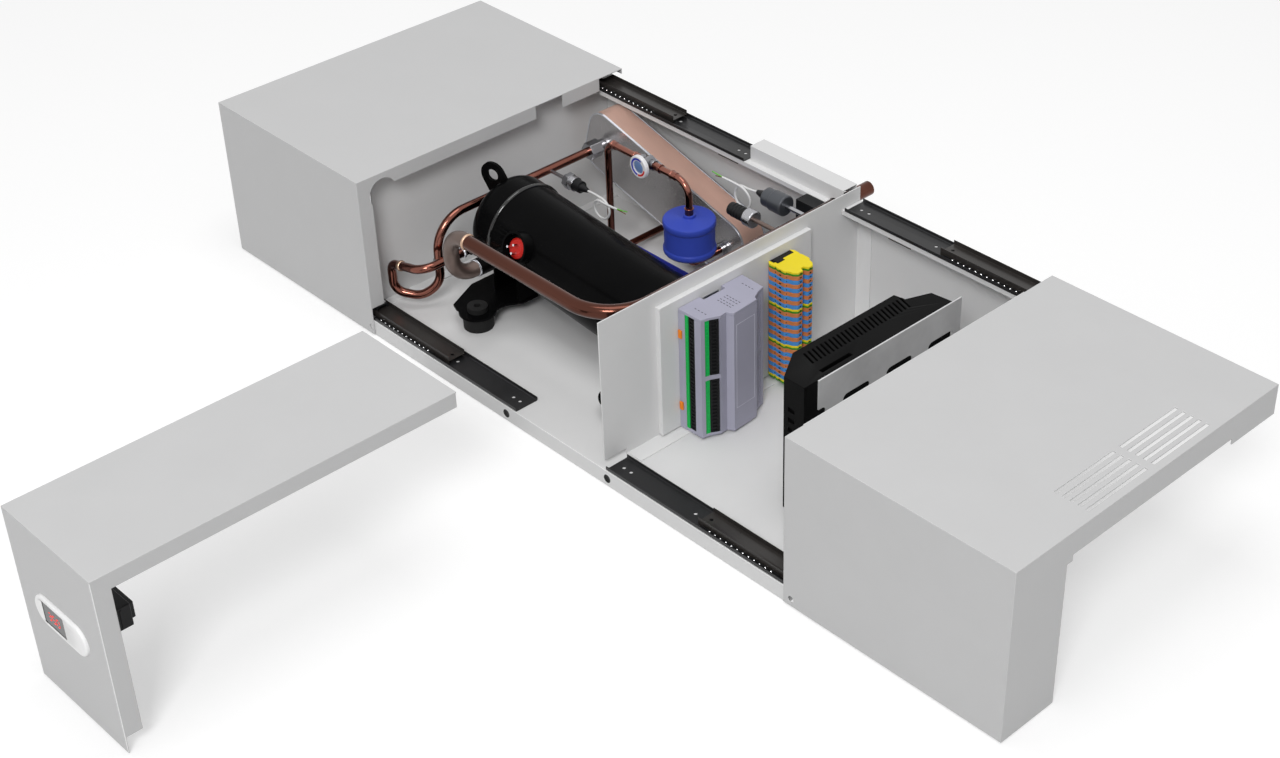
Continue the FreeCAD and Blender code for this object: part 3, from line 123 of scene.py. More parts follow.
@dataclass(frozen=True)
class Finish:
    """One finish: a colour, how it shines, and the texture on it.

    Grain is in waves per metre, relief in metres, and mottle and sheen_change are
    the shares by which colour and roughness vary over the surface.
    """

    name: str
    colour: Colour
    roughness: float
    texture: Texture
    metallic: float = 0.0
    grain: float = 900.0
    relief: float = 0.00004
    mottle: float = 0.04
    sheen_change: float = 0.12
    coat: float = 0.0
    specular: float = 0.5
    second: Colour | None = None
    emission: float = 0.0

    def material(self) -> bpy.types.Material:
        """Material of this finish, made once and then shared."""
        found = bpy.data.materials.get(self.name)
        if found is None:
            found = MaterialMaker(self).build()
        return found


class Nodes:
    """Node tree filled by short calls, in which an input takes a value or a socket."""

    def __init__(self, tree: bpy.types.NodeTree) -> None:
        """Works on one tree."""
        self.tree = tree

    def feed(self, node: bpy.types.Node, inputs: dict[str | int, Feed]) -> None:
        """Sets each input to its value, or links it to its socket."""
        for key, value in inputs.items():
            if isinstance(value, Socket):
                self.tree.links.new(value, node.inputs[key])
            else:
                node.inputs[key].default_value = value

    def add(self, kind: str, inputs: dict[str | int, Feed] | None = None,
            operation: str = "") -> bpy.types.Node:
        """New shader node of a kind.

        Args:
            kind: Its type, without the words ShaderNode.
            inputs: Value or socket for each input, by name or number.
            operation: What it works out, for a maths node.

        Returns:
            The node.
        """
        made = self.tree.nodes.new(f"ShaderNode{kind}")
        if operation:
            made.operation = operation
        self.feed(made, inputs or {})
        return made

    def maths(self, operation: str, *values: Feed) -> Socket:
        """Result of a maths node that is fed the values in turn."""
        return self.add("Math", dict(enumerate(values)), operation).outputs[0]


class Groups:
    """Shader node groups that several finishes share."""

    @staticmethod
    def _new(name: str, inputs: dict[str, float],
             outputs: tuple[str, ...]) -> tuple[Nodes, bpy.types.Node, bpy.types.Node]:
        """Empty group with a vector input, number inputs and number outputs.

        Args:
            name: Name of the group.
            inputs: Its number inputs and their values at the start.
            outputs: Names of its outputs.

        Returns:
            Its nodes, its input node and its output node.
        """
        tree = bpy.data.node_groups.new(name, "ShaderNodeTree")
        tree.interface.new_socket("Vector", in_out="INPUT", socket_type="NodeSocketVector")
        for key, value in inputs.items():
            socket = tree.interface.new_socket(key, in_out="INPUT", socket_type="NodeSocketFloat")
            socket.default_value = value
        for key in outputs:
            tree.interface.new_socket(key, in_out="OUTPUT", socket_type="NodeSocketFloat")
        return Nodes(tree), tree.nodes.new("NodeGroupInput"), tree.nodes.new("NodeGroupOutput")

    @classmethod
    def grain(cls) -> bpy.types.NodeTree:
        """Fine orange peel and a broad mottle, both from noise.

        Returns:
            A group with the outputs Height and Mottle, each from 0 to 1.
        """
        name = "Fine grain"
        if name in bpy.data.node_groups:
            return bpy.data.node_groups[name]
        nodes, source, target = cls._new(name, {"Scale": 900.0, "Broad": 14.0, "Stretch": 1.0},
                                         ("Height", "Mottle"))
        given = source.outputs
        combine = nodes.add("CombineXYZ", {"X": given["Stretch"], "Y": 1.0, "Z": 1.0})
        scaled = nodes.add("VectorMath", {0: given["Vector"], 1: combine.outputs["Vector"]},
                           "MULTIPLY").outputs["Vector"]
        fine = nodes.add("TexNoise", {"Detail": 3.0, "Vector": scaled, "Scale": given["Scale"]})
        broad = nodes.add("TexNoise", {"Detail": 4.0, "Roughness": 0.6, "Vector": scaled,
                                       "Scale": given["Broad"]})
        nodes.feed(target, {"Height": fine.outputs["Fac"], "Mottle": broad.outputs["Fac"]})
        return nodes.tree

    @classmethod
    def scuffs(cls) -> bpy.types.NodeTree:
        """Thin crossing hairlines where a stretched noise passes a narrow band.

        Returns:
            A group with the output Mask, 1 on a hairline and 0 elsewhere.
        """
        name = "Hairline scuffs"
        if name in bpy.data.node_groups:
            return bpy.data.node_groups[name]
        nodes, source, target = cls._new(name, {"Scale": 60.0, "Amount": 0.3}, ("Mask",))
        given = source.outputs
        warp = nodes.add("TexNoise", {"Detail": 2.0, "Distortion": 1.6, "Vector": given["Vector"],
                                      "Scale": given["Scale"]})
        band = nodes.maths("ABSOLUTE", nodes.maths("SUBTRACT", warp.outputs["Fac"], 0.5))
        line = nodes.add("MapRange", {"From Min": 0.006, "From Max": 0.0, "Value": band})
        nodes.feed(target, {"Mask": nodes.maths("MULTIPLY", line.outputs["Result"], given["Amount"])})
        return nodes.tree


class MaterialMaker(Nodes):
    """Builds the node tree of one finish."""

    def __init__(self, finish: Finish) -> None:
        """Starts an empty material for the finish."""
        self.finish = finish
        self.material = bpy.data.materials.new(finish.name)
        self.material.use_nodes = True
        self.material.diffuse_color = (*finish.colour, 1.0)
        super().__init__(self.material.node_tree)

    def group(self, tree: bpy.types.NodeTree, **values: float) -> bpy.types.NodeOutputs:
        """Places a shared group, fed by the Object coordinates, and gives its outputs."""
        placed = self.add("Group")
        placed.node_tree = tree
        self.feed(placed, {**values, "Vector": self.add("TexCoord").outputs["Object"]})
        return placed.outputs

    def ranged(self, value: Socket, low: float, high: float) -> Socket:
        """Maps a mask from 0.3..0.7 to a range of values."""
        return self.add("MapRange", {"From Min": 0.3, "From Max": 0.7, "To Min": low,
                                     "To Max": high, "Value": value}).outputs["Result"]

    def mixed(self, mask: Socket, low: Colour, high: Colour) -> Socket:
        """Blend of two colours by a mask."""
        mix = self.add("Mix")
        mix.data_type = "RGBA"
        self.feed(mix, {"A": (*low, 1.0), "B": (*high, 1.0), "Factor": mask})
        return mix.outputs["Result"]

    def build(self) -> bpy.types.Material:
        """Colour, roughness and relief of the finish, all varied over the surface.

        Returns:
            The material.
        """
        finish = self.finish
        stretch = {Texture.BRUSHED: 0.03, Texture.DRAWN: 0.12}.get(finish.texture, 1.0)
        grain = self.group(Groups.grain(), Scale=finish.grain, Broad=14.0, Stretch=stretch)
        scuffs = self.group(Groups.scuffs(), Scale=34.0, Amount=0.25)
        first = tuple(part * (1.0 - finish.mottle) for part in finish.colour)
        second = finish.second or tuple(min(1.0, part * (1.0 + finish.mottle))
                                        for part in finish.colour)
        rough = self.ranged(grain["Mottle"], finish.roughness * (1.0 - finish.sheen_change),
                            min(1.0, finish.roughness * (1.0 + finish.sheen_change)))
        bump = self.add("Bump", {"Distance": finish.relief, "Strength": 0.6,
                                 "Height": grain["Height"]})
        inputs = {"Base Color": self.mixed(self.ranged(grain["Mottle"], 0.0, 1.0), first, second),
                  "Roughness": self.maths("MULTIPLY_ADD", scuffs["Mask"], 0.12, rough),
                  "Metallic": finish.metallic, "Specular IOR Level": finish.specular,
                  "Coat Weight": finish.coat, "Normal": bump.outputs["Normal"]}
        if finish.coat:
            inputs["Coat Roughness"] = 0.12
        if finish.emission:
            inputs["Emission Color"] = (*finish.colour, 1.0)
            inputs["Emission Strength"] = finish.emission
        self.feed(self.tree.nodes["Principled BSDF"], inputs)
        return self.material


@dataclass(frozen=True)
class Finishes:
    """All finishes of the unit."""

    # The chassis sheet is the covers' powder coat made lighter: painted fill light for the shaded bays.
    sheet: Finish = Finish("Chassis powder coat with painted fill light", (0.72, 0.72, 0.72), 0.42, Texture.COAT,
                           grain=1400.0, relief=0.00003, mottle=0.012, sheen_change=0.08,
                           specular=0.3)
    cover_coat: Finish = Finish("Light grey powder coat", (0.585, 0.585, 0.587), 0.42, Texture.COAT,
                                grain=1400.0, relief=0.00003, mottle=0.012, sheen_change=0.08,
                                specular=0.25)
    slide: Finish = Finish("Black slide coat", (0.014, 0.014, 0.015), 0.34, Texture.PAINT,
                           mottle=0.25, relief=0.00002, specular=0.35)
    rail: Finish = Finish("Satin slide coat", (0.027, 0.024, 0.022), 0.3, Texture.PAINT,
                          mottle=0.25, relief=0.00002, specular=0.4)
    ball: Finish = Finish("Polished ball steel", (0.80, 0.80, 0.82), 0.10, Texture.PAINT, metallic=1.0)
    zinc: Finish = Finish("Passivated zinc", (0.42, 0.43, 0.45), 0.34, Texture.BRUSHED, metallic=1.0)
    shell: Finish = Finish("Black compressor paint", (0.0030, 0.0030, 0.0032), 0.22, Texture.PAINT,
                           grain=260.0, relief=0.00003, mottle=0.2, specular=0.03)
    seam: Finish = Finish("Glossy seam paint", (0.006, 0.006, 0.006), 0.12, Texture.PAINT, specular=0.7)
    # Dark colour of the blocks in the open wall slots: painted shade.
    painted_slot_shade: Finish = Finish("Painted slot shade", (0.15, 0.125, 0.12), 0.5, Texture.PAINT)
    chrome: Finish = Finish("Dark chrome", (0.22, 0.22, 0.235), 0.16, Texture.DRAWN, metallic=1.0)
    disc: Finish = Finish("Red insulator", (0.55, 0.015, 0.01), 0.35, Texture.MOULDED, specular=0.25)
    pin: Finish = Finish("Plated pin steel", (0.75, 0.75, 0.78), 0.18, Texture.DRAWN, metallic=1.0)
    rubber: Finish = Finish("Mount rubber", (0.012, 0.012, 0.012), 0.6, Texture.RUBBER, relief=0.0001,
                            specular=0.2)
    pipe: Finish = Finish("Coated steel pipe", (0.15, 0.11, 0.095), 0.36, Texture.DRAWN,
                          metallic=0.7, mottle=0.16)
    # The suction line's copper, darker than the drawn copper: painted shade for the dark surroundings its
    # straight run reflects.
    shaded_copper: Finish = Finish("Copper darkened as painted shade", (0.072, 0.024, 0.015), 0.15, Texture.DRAWN, metallic=1.0,
                          grain=500.0, coat=0.12, mottle=0.25, second=(0.120, 0.044, 0.030),
                          sheen_change=0.3)
    copper: Finish = Finish("Drawn copper", (0.185, 0.062, 0.043), 0.15, Texture.DRAWN, metallic=1.0,
                            grain=500.0, coat=0.2, mottle=0.10, second=(0.25, 0.098, 0.072),
                            sheen_change=0.3)
    braze: Finish = Finish("Brazed joint", (0.62, 0.42, 0.30), 0.36, Texture.DRAWN, metallic=1.0,
                           mottle=0.2, relief=0.00015, grain=300.0)
    plates: Finish = Finish("Brazed plate edges", (0.70, 0.49, 0.41), 0.34, Texture.BRUSHED,
                            metallic=0.35, mottle=0.12)
    cover: Finish = Finish("Brushed cover steel", (0.52, 0.505, 0.505), 0.26, Texture.BRUSHED,
                           metallic=0.75, mottle=0.06)
    # Light bluish steel for rims and port rings: its colour is a painted highlight, the glint their edges
    # catch.
    bright: Finish = Finish("Steel lightened as painted highlight", (0.80, 0.82, 0.88), 0.22, Texture.DRAWN, metallic=0.9)
    fitting: Finish = Finish("Machined steel", (0.40, 0.40, 0.42), 0.24, Texture.DRAWN, metallic=1.0)
    blue: Finish = Finish("Blue drier paint", (0.040, 0.072, 0.45), 0.4, Texture.PAINT,
                          mottle=0.06, specular=0.15)
    foot: Finish = Finish("Blue rail paint", (0.02, 0.03, 0.33), 0.4, Texture.PAINT, specular=0.2)
    ring: Finish = Finish("White enamel ring", (0.78, 0.78, 0.80), 0.3, Texture.PAINT)
    lens: Finish = Finish("Indicator glass", (0.16, 0.26, 0.50), 0.08, Texture.MOULDED, coat=0.8)
    mark: Finish = Finish("Blue indicator", (0.03, 0.04, 0.45), 0.3, Texture.PAINT)
    red: Finish = Finish("Red indicator", (0.62, 0.015, 0.015), 0.3, Texture.PAINT)
    sensor: Finish = Finish("Sensor body grey", (0.07, 0.075, 0.085), 0.35, Texture.PAINT, metallic=0.4)
    black: Finish = Finish("Black moulding", (0.008, 0.008, 0.009), 0.45, Texture.MOULDED, specular=0.2)
    sheath: Finish = Finish("White lead sheath", (0.70, 0.70, 0.70), 0.45, Texture.RUBBER)
    green_core: Finish = Finish("Green core", (0.13, 0.50, 0.04), 0.5, Texture.RUBBER)
    brown_core: Finish = Finish("Brown core", (0.20, 0.10, 0.05), 0.5, Texture.RUBBER)
    controller: Finish = Finish("Controller moulding", (0.38, 0.375, 0.465), 0.5, Texture.MOULDED,
                                grain=1800.0, specular=0.25)
    pale: Finish = Finish("Moulded edge line", (0.60, 0.60, 0.68), 0.5, Texture.MOULDED, specular=0.25)
    green: Finish = Finish("Green connector", (0.01, 0.46, 0.09), 0.42, Texture.MOULDED, specular=0.25)
    orange: Finish = Finish("Orange latch", (0.86, 0.24, 0.012), 0.45, Texture.MOULDED, specular=0.25)
    terminal_orange: Finish = Finish("Orange terminal moulding", (0.62, 0.21, 0.075), 0.5,
                                     Texture.MOULDED, specular=0.25)
    terminal_blue: Finish = Finish("Blue terminal moulding", (0.07, 0.28, 0.66), 0.5,
                                   Texture.MOULDED, specular=0.25)
    earth: Finish = Finish("Yellow earth moulding", (0.84, 0.68, 0.02), 0.45, Texture.MOULDED,
                           specular=0.25)
    earth_green: Finish = Finish("Green earth moulding", (0.06, 0.27, 0.015), 0.5, Texture.MOULDED,
                                 specular=0.25)
    inverter: Finish = Finish("Inverter moulding", (0.0030, 0.0030, 0.0031), 0.45, Texture.MOULDED,
                              grain=1500.0, relief=0.00006, specular=0.045)
    aluminium: Finish = Finish("Mill aluminium", (0.64, 0.64, 0.645), 0.34, Texture.BRUSHED,
                               metallic=0.35, mottle=0.1)
    # White of the bezel; on the tray and middle cover edge strips the same white is a painted highlight.
    bezel: Finish = Finish("White moulding and painted highlight", (0.93, 0.93, 0.93), 0.3, Texture.MOULDED)
    window: Finish = Finish("Smoked window", (0.055, 0.055, 0.06), 0.12, Texture.MOULDED, specular=0.4)
    digit: Finish = Finish("Lit segment", (0.62, 0.02, 0.015), 0.4, Texture.MOULDED, emission=1.1)


FINISH = Finishes()


class Shapes:
    """Surfaces worked out on grids of two parameters, and what finishes them."""

    @staticmethod
    def from_faces(name: str, points: Array, faces: list[list[int]]) -> Piece:
        """Object from points in millimetres about the middle plane.

        Args:
            name: Name of the new object.
            points: Array of shape (n, 3).
            faces: Corner numbers of each face.

        Returns:
            The object, with merged doubles and outward faces.
        """
        mesh = bpy.data.meshes.new(name)
        mesh.from_pydata(at_array(points).tolist(), [], faces)
        work = bmesh.new()
        work.from_mesh(mesh)
        bmesh.ops.remove_doubles(work, verts=work.verts, dist=1e-7)
        bmesh.ops.recalc_face_normals(work, faces=work.faces)
        work.to_mesh(mesh)
        work.free()
        made = placed(name, mesh)
        return made

    @staticmethod
    def grid_faces(rows: int, columns: int, wrap: bool, start: int = 0) -> list[list[int]]:
        """Quads between the neighbours of a grid, joined round its columns if it wraps."""
        index = np.arange(rows * columns).reshape(rows, columns) + start
        if wrap:
            index = np.concatenate([index, index[:, :1]], axis=1)
        quads = np.stack([index[:-1, :-1], index[1:, :-1], index[1:, 1:], index[:-1, 1:]], axis=-1)
        return quads.reshape(-1, 4).tolist()

    @classmethod
    def closed_grids(cls, name: str, grids: Array) -> Piece:
        """Closed tubes in one mesh, each a grid of rings with its first and last ring filled.

        Args:
            name: Name of the new object.
            grids: Array of shape (tubes, rings, corners, 3) in millimetres.

        Returns:
            The object.
        """
        tubes, rings, corners, _ = grids.shape
        size = rings * corners
        faces: list[list[int]] = []
        for start in range(0, tubes * size, size):
            faces += cls.grid_faces(rings, corners, True, start)
            faces += [list(range(start, start + corners)),
                      list(range(start + size - corners, start + size))]
        return cls.from_faces(name, grids.reshape(-1, 3), faces)

    @classmethod
    def closed_grid(cls, name: str, points: Array) -> Piece:
        """One closed tube from an array of shape (rings, corners, 3) in millimetres."""
        return cls.closed_grids(name, points[None])

    @classmethod
    def looped_grid(cls, name: str, points: Array) -> Piece:
        """Ring-shaped piece whose last section joins its first.

        Args:
            name: Name of the new object.
            points: Array of shape (sections, corners, 3) in millimetres.

        Returns:
            The object.
        """
        sections, corners, _ = points.shape
        first = np.arange(corners)
        last = first + (sections - 1) * corners
        faces = cls.grid_faces(sections, corners, True)
        faces += np.stack([last, first, np.roll(first, -1), np.roll(last, -1)], axis=1).tolist()
        return cls.from_faces(name, points.reshape(-1, 3), faces)

    @staticmethod
    def basis(axis: Point) -> tuple[Array, Array, Array]:
        """Unit vectors along an axis and across it, the second pointing up where it can."""
        along = np.array(axis, dtype=float)
        along /= np.linalg.norm(along)
        up = np.array([0.0, 0.0, 1.0]) if abs(along[2]) < 0.9 else np.array([1.0, 0.0, 0.0])
        side = np.cross(up, along)
        side /= np.linalg.norm(side)
        return along, side, np.cross(along, side)

    @classmethod
    def turned(cls, name: str, origin: Point, axis: Point, profile: Profile,
               steps: int = 64) -> Piece:
        """Turned part: a profile of distance and radius, carried round an axis.

        Each point is origin + distance * axis + radius * (cos a * side + sin a * up).

        Args:
            name: Name of the new object.
            origin: Start of the axis in millimetres.
            axis: Direction of the axis.
            profile: Pairs of distance along the axis and radius.
            steps: Corners of each ring.

        Returns:
            The object.
        """
        along, side, up = cls.basis(axis)
        rings = np.array(profile, dtype=float)
        angle = np.linspace(0.0, 2.0 * np.pi, steps, endpoint=False)
        round_part = np.cos(angle)[:, None] * side + np.sin(angle)[:, None] * up
        points = (np.array(origin) + rings[:, 0, None, None] * along
                  + rings[:, 1, None, None] * round_part[None, :, :])
        return cls.closed_grid(name, points)

    @classmethod
    def prism(cls, name: str, outline: Array, direction: Point) -> Piece:
        """Flat outline of millimetre points carried straight along a direction."""
        points = np.stack([outline, outline + np.array(direction)])
        return cls.closed_grid(name, points)

    @classmethod
    def box(cls, name: str, low: Point, high: Point) -> Piece:
        """Box between two corners in millimetres, as a prism of its lower outline."""
        (x0, y0, z0), (x1, y1, z1) = low, high
        outline = np.array([(x0, y0, z0), (x1, y0, z0), (x1, y1, z0), (x0, y1, z0)], dtype=float)
        return cls.prism(name, outline, (0.0, 0.0, z1 - z0))

    @classmethod
    def blocks(cls, name: str, boxes: Array) -> Piece:
        """Many small blocks in one mesh, each from a row of two corners in millimetres.

        Each corner is low + (high - low) * choice, where the eight choices are the
        corners of a unit block.

        Args:
            name: Name of the new object.
            boxes: Array of shape (n, 6): lowest corner, then highest corner.

        Returns:
            The object.
        """
        choice = np.array([(0, 0, 0), (1, 0, 0), (1, 1, 0), (0, 1, 0),
                           (0, 0, 1), (1, 0, 1), (1, 1, 1), (0, 1, 1)], dtype=float)
        low, high = boxes[:, None, :3], boxes[:, None, 3:]
        points = (low + (high - low) * choice).reshape(-1, 3)
        sides = np.array([(0, 3, 2, 1), (4, 5, 6, 7), (0, 1, 5, 4), (1, 2, 6, 5), (2, 3, 7, 6),
                          (3, 0, 4, 7)])
        faces = (sides[None] + 8 * np.arange(len(boxes))[:, None, None]).reshape(-1, 4).tolist()
        return cls.from_faces(name, points, faces)

    @classmethod
    def layers(cls, name: str, outline: Array, levels: Profile,
               chamfer: float = 0.25) -> Piece:
        """Flat slabs of one plan at several heights, each with chamfered edges.

        A slab has four rings of the plan: drawn in by the chamfer at its bottom, full
        just above, full just below its top, and drawn in again. Drawn in means moved
        towards the plan's middle by the chamfer.

        Args:
            name: Name of the new object.
            outline: Plan points of shape (n, 2) in millimetres.
            levels: Bottom and top of each slab.
            chamfer: Size of the chamfer.

        Returns:
            The object.
        """
        centre = outline.mean(axis=0)
        away = outline - centre
        shrunk = centre + away * (1 - chamfer / np.linalg.norm(away, axis=1, keepdims=True))
        slabs = [[np.column_stack([plan, np.full(len(plan), z)])
                  for plan, z in ((shrunk, low), (outline, low + chamfer),
                                  (outline, high - chamfer), (shrunk, high))]
                 for low, high in levels]
        return cls.closed_grids(name, np.array(slabs))

    @classmethod
    def pocketed(cls, name: str, corner: Point, across: Point, upward: Point, outward: Point,
                 pockets: Array) -> Piece:
        """Block whose front has rectangular pockets, as one height field with closed sides.

        The front height at (u, v) is the full depth, less the depth of the pocket that
        holds (u, v). Grid lines lie on both sides of each pocket edge, a hair apart.

        Args:
            name: Name of the new object.
            corner: Back corner of the block in millimetres.
            across: Vector along the block's width.
            upward: Vector along its height.
            outward: Vector from its back to its front.
            pockets: Rows of u0, u1, v0, v1 and depth in millimetres.

        Returns:
            The object.
        """
        width, height, depth = (float(np.linalg.norm(v)) for v in (across, upward, outward))
        hair = 0.02

        def lines(low: Array, high: Array, size: float) -> Array:
            """Grid lines of one direction, on both sides of each pocket edge."""
            edges = np.concatenate([low - hair, low + hair, high - hair, high + hair])
            return np.unique(np.round(np.concatenate([[0.0, size], edges]), 4))

        u = lines(pockets[:, 0], pockets[:, 1], width)
        v = lines(pockets[:, 2], pockets[:, 3], height)
        inside = ((u[None, :, None] > pockets[:, 0, None, None])
                  & (u[None, :, None] < pockets[:, 1, None, None])
                  & (v[None, None, :] > pockets[:, 2, None, None])
                  & (v[None, None, :] < pockets[:, 3, None, None]))
        front = depth - (inside * pockets[:, 4, None, None]).max(axis=0)
        a, b, c = (np.array(vec) / size for vec, size in ((across, width), (upward, height),
                                                          (outward, depth)))
        flat = np.array(corner) + u[:, None, None] * a + v[None, :, None] * b
        top = flat + front[:, :, None] * c
        rows, columns = len(u), len(v)
        points = np.concatenate([top.reshape(-1, 3), flat.reshape(-1, 3)])
        index = np.arange(rows * columns).reshape(rows, columns)
        rim = np.concatenate([index[0, :], index[1:, -1], index[-1, -2::-1], index[-2:0:-1, 0]])
        following = np.roll(rim, -1)
        below = rows * columns
        sides = np.stack([rim, following, following + below, rim + below], axis=1).tolist()
        faces = cls.grid_faces(rows, columns, False) + sides + [(rim + below).tolist()]
        return cls.from_faces(name, points, faces)

    @staticmethod
    def soften(made: Piece, width: float, segments: int = 2,
               angle: float = 35.0) -> Piece:
        """Rounds the sharp edges with a bevel.

        Args:
            made: The object.
            width: Width of the bevel in millimetres.
            segments: Steps across it.
            angle: Least angle of an edge that counts as sharp.

        Returns:
            The object.
        """
        bevel = made.modifiers.new("Edges", "BEVEL")
        bevel.width = width * MM
        bevel.segments = segments
        bevel.limit_method = "ANGLE"
        bevel.angle_limit = math.radians(angle)
        bevel.harden_normals = False
        bevel.use_clamp_overlap = True
        return made

    @staticmethod
    def smooth(made: Piece, angle: float = 35.0) -> Piece:
        """Smooth shading, with the sharp edges kept."""
        made.data.shade_smooth()
        made.data.set_sharp_from_angle(angle=math.radians(angle))
        return made


def dress_node(node: str, finish: Finish) -> None:
    """Gives a frame piece its finish."""
    target = FRAME["nodes"][node]
    if not target.material_slots:
        target.data.materials.append(finish.material())
    for slot in target.material_slots:
        slot.material = finish.material()


@dataclass
class Route:
    """Pipe route of straight runs and tangent arcs, in millimetres."""

    corners: list[Point]
    bends: list[float]
    step: float = 4.0

    def stations(self) -> Array:
        """Centre points along the route: run ends, and arcs cut into short steps.

        An arc's points are centre + radius * (cos a * inward + sin a * along), from its
        first tangent point to its last.

        Returns:
            Array of shape (n, 3).
        """
        corners = np.array(self.corners, dtype=float)
        pieces = [corners[:1]]
        for before, corner, after, radius in zip(corners, corners[1:], corners[2:], self.bends):
            first = corner - before
            last = after - corner
            first /= np.linalg.norm(first)
            last /= np.linalg.norm(last)
            turn = math.acos(float(np.clip(first @ last, -1.0, 1.0)))
            start = corner - first * radius * math.tan(turn / 2)
            inward = last - first * float(first @ last)
            inward /= np.linalg.norm(inward)
            centre = start + inward * radius
            count = max(8, int(radius * turn / self.step) + 1)
            angle = np.linspace(0.0, turn, count)[:, None]
            pieces.append(centre - inward * radius * np.cos(angle) + first * radius * np.sin(angle))
        pieces.append(corners[-1:])
        return np.concatenate(pieces)


class Pipes:
    """Round pipes swept along routes."""

    @staticmethod
    def frames(centres: Array) -> tuple[Array, Array]:
        """Two directions across the path at each station, turned as little as possible.

        Args:
            centres: Stations of the path.

        Returns:
            The sideways and the upward directions, each of shape (n, 3).
        """
        ahead = np.gradient(centres, axis=0)
        ahead[0] = centres[1] - centres[0]
        ahead[-1] = centres[-1] - centres[-2]
        ahead /= np.linalg.norm(ahead, axis=1, keepdims=True)
        side = np.empty_like(ahead)
        side[0] = Shapes.basis(tuple(ahead[0]))[1]
        for index in range(1, len(ahead)):
            carried = side[index - 1] - ahead[index] * float(side[index - 1] @ ahead[index])
            side[index] = carried / np.linalg.norm(carried)
        return side, np.cross(ahead, side)

    @classmethod
    def swept(cls, name: str, centres: Array, radius: float | Array,
              steps: int = 40, bore: float = 0.0, depth: float = 30.0) -> Piece:
        """Pipe round a path: centre + radius * (cos a * side + sin a * up).

        Args:
            name: Name of the new object.
            centres: Stations of the path in millimetres.
            radius: Outer radius, one for all or one for each station.
            steps: Corners of each ring.
            bore: Radius of the open bore at the last station, or 0.
            depth: How far the bore goes in.

        Returns:
            The object.
        """
        side, up = cls.frames(centres)
        radii = np.broadcast_to(np.asarray(radius, dtype=float), (len(centres),)).copy()
        if bore:
            inward = centres[-2] - centres[-1]
            inward /= np.linalg.norm(inward)
            extra = np.stack([centres[-1], centres[-1] + inward * depth])
            centres = np.concatenate([centres, extra])
            side = np.concatenate([side, side[-1:], side[-1:]])
            up = np.concatenate([up, up[-1:], up[-1:]])
            radii = np.concatenate([radii, [bore, bore]])
        angle = np.linspace(0.0, 2.0 * np.pi, steps, endpoint=False)
        wall = (np.cos(angle)[None, :, None] * side[:, None, :]
                + np.sin(angle)[None, :, None] * up[:, None, :])
        return Shapes.closed_grid(name, centres[:, None, :] + radii[:, None, None] * wall)


FRAME: dict = {}


def settle(made: Piece, finish: Finish, body: str = "chassis",
           *nodes: str) -> Piece:
    """Dresses a piece and lets it ride on a body.

    Args:
        made: The piece.
        finish: Its finish, put in the place of any that it has.
        body: Body that it rides on.
        nodes: Frame pieces that it stands for.

    Returns:
        The piece.
    """
    made.data.materials.clear()
    made.data.materials.append(finish.material())
    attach(made, body)
    if nodes:
        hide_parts(*nodes)
    log.info("%s rides on %s", made.name, body)
    return made


def rounded(name: str, node: str, width: float, finish: Finish, body: str = "chassis") -> None:
    """Merged copy of a frame piece with rounded edges, which rides in its place.

    Args:
        name: Name of the copy.
        node: Frame piece to copy.
        width: Width of the rounding in millimetres.
        finish: Finish of the copy.
        body: Body that it rides on.
    """
    source = FRAME["nodes"][node]
    mesh = source.data.copy()
    work = bmesh.new()
    work.from_mesh(mesh)
    work.transform(source.matrix_world)
    bmesh.ops.remove_doubles(work, verts=work.verts, dist=2e-6)
    bmesh.ops.dissolve_limit(work, angle_limit=math.radians(1.0), verts=work.verts,
                             edges=work.edges)
    work.to_mesh(mesh)
    work.free()
    made = placed(name, mesh)
    settle(Shapes.soften(Shapes.smooth(made, 30.0), width, 2, 40.0), finish, body, node)


@dataclass
class Chassis:
    """Tray, walls, partition, mounting plate and rails."""

    sheet_round: float = 0.5
    plugs: Pair = (-94.0, 94.0)
    plug_y: float = -221.0
    plug_level: float = 10.5
    slot: Pair = (38.0, 6.0)
    slot_starts: Pair = (-171.0, 136.5)
    slot_level: float = 172.0
    wall_inside: float = 221.4
    nodes: tuple[str, ...] = ("base_tray", "far_wall", "left_end_wall", "right_end_wall",
                              "partition", "mounting_plate")

    def build(self) -> None:
        """Rounded copies of the sheet pieces, and the zinc of the rails."""
        # The sheet finish is lightened as painted fill light.
        for node in self.nodes:
            rounded(f"{node}_sheet", node, self.sheet_round, FINISH.sheet)
        for name, x in (("left", self.plugs[0]), ("right", self.plugs[1])):
            profile = [(0.0, 0.0), (0.0, 4.0), (1.92, 4.0), (1.92, 5.7), (2.15, 5.6), (2.2, 4.3),
                       (1.5, 3.1), (0.9, 0.0)]
            made = Shapes.turned(f"lock_plug_{name}", (x, self.plug_y, self.plug_level),
                                 (0, -1, 0), profile, 40)
            settle(Shapes.smooth(made), FINISH.rubber)
        # Dark blocks in the wall slots are painted shade, so the open slots read dark.
        slots = np.array([(x, self.wall_inside + 0.5, self.slot_level, x + self.slot[0],
                           self.wall_inside + 1.0, self.slot_level + self.slot[1])
                          for x in self.slot_starts])
        settle(Shapes.blocks("wall_slot_painted_shade", slots), FINISH.painted_slot_shade)
        low, high = map(local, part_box("base_tray"))
        # A white strip along the tray's near top bend is a painted highlight.
        tray_highlight = Shapes.box("tray_edge_highlight", (low[0] + 2.0, low[1] - 0.1, high[2] - 0.9),
                          (high[0] - 2.0, low[1] + 0.6, high[2] + 0.08))
        settle(Shapes.soften(tray_highlight, 0.2), FINISH.bezel)
        rounded("din_rails_folded", "din_rails", 0.3, FINISH.zinc)


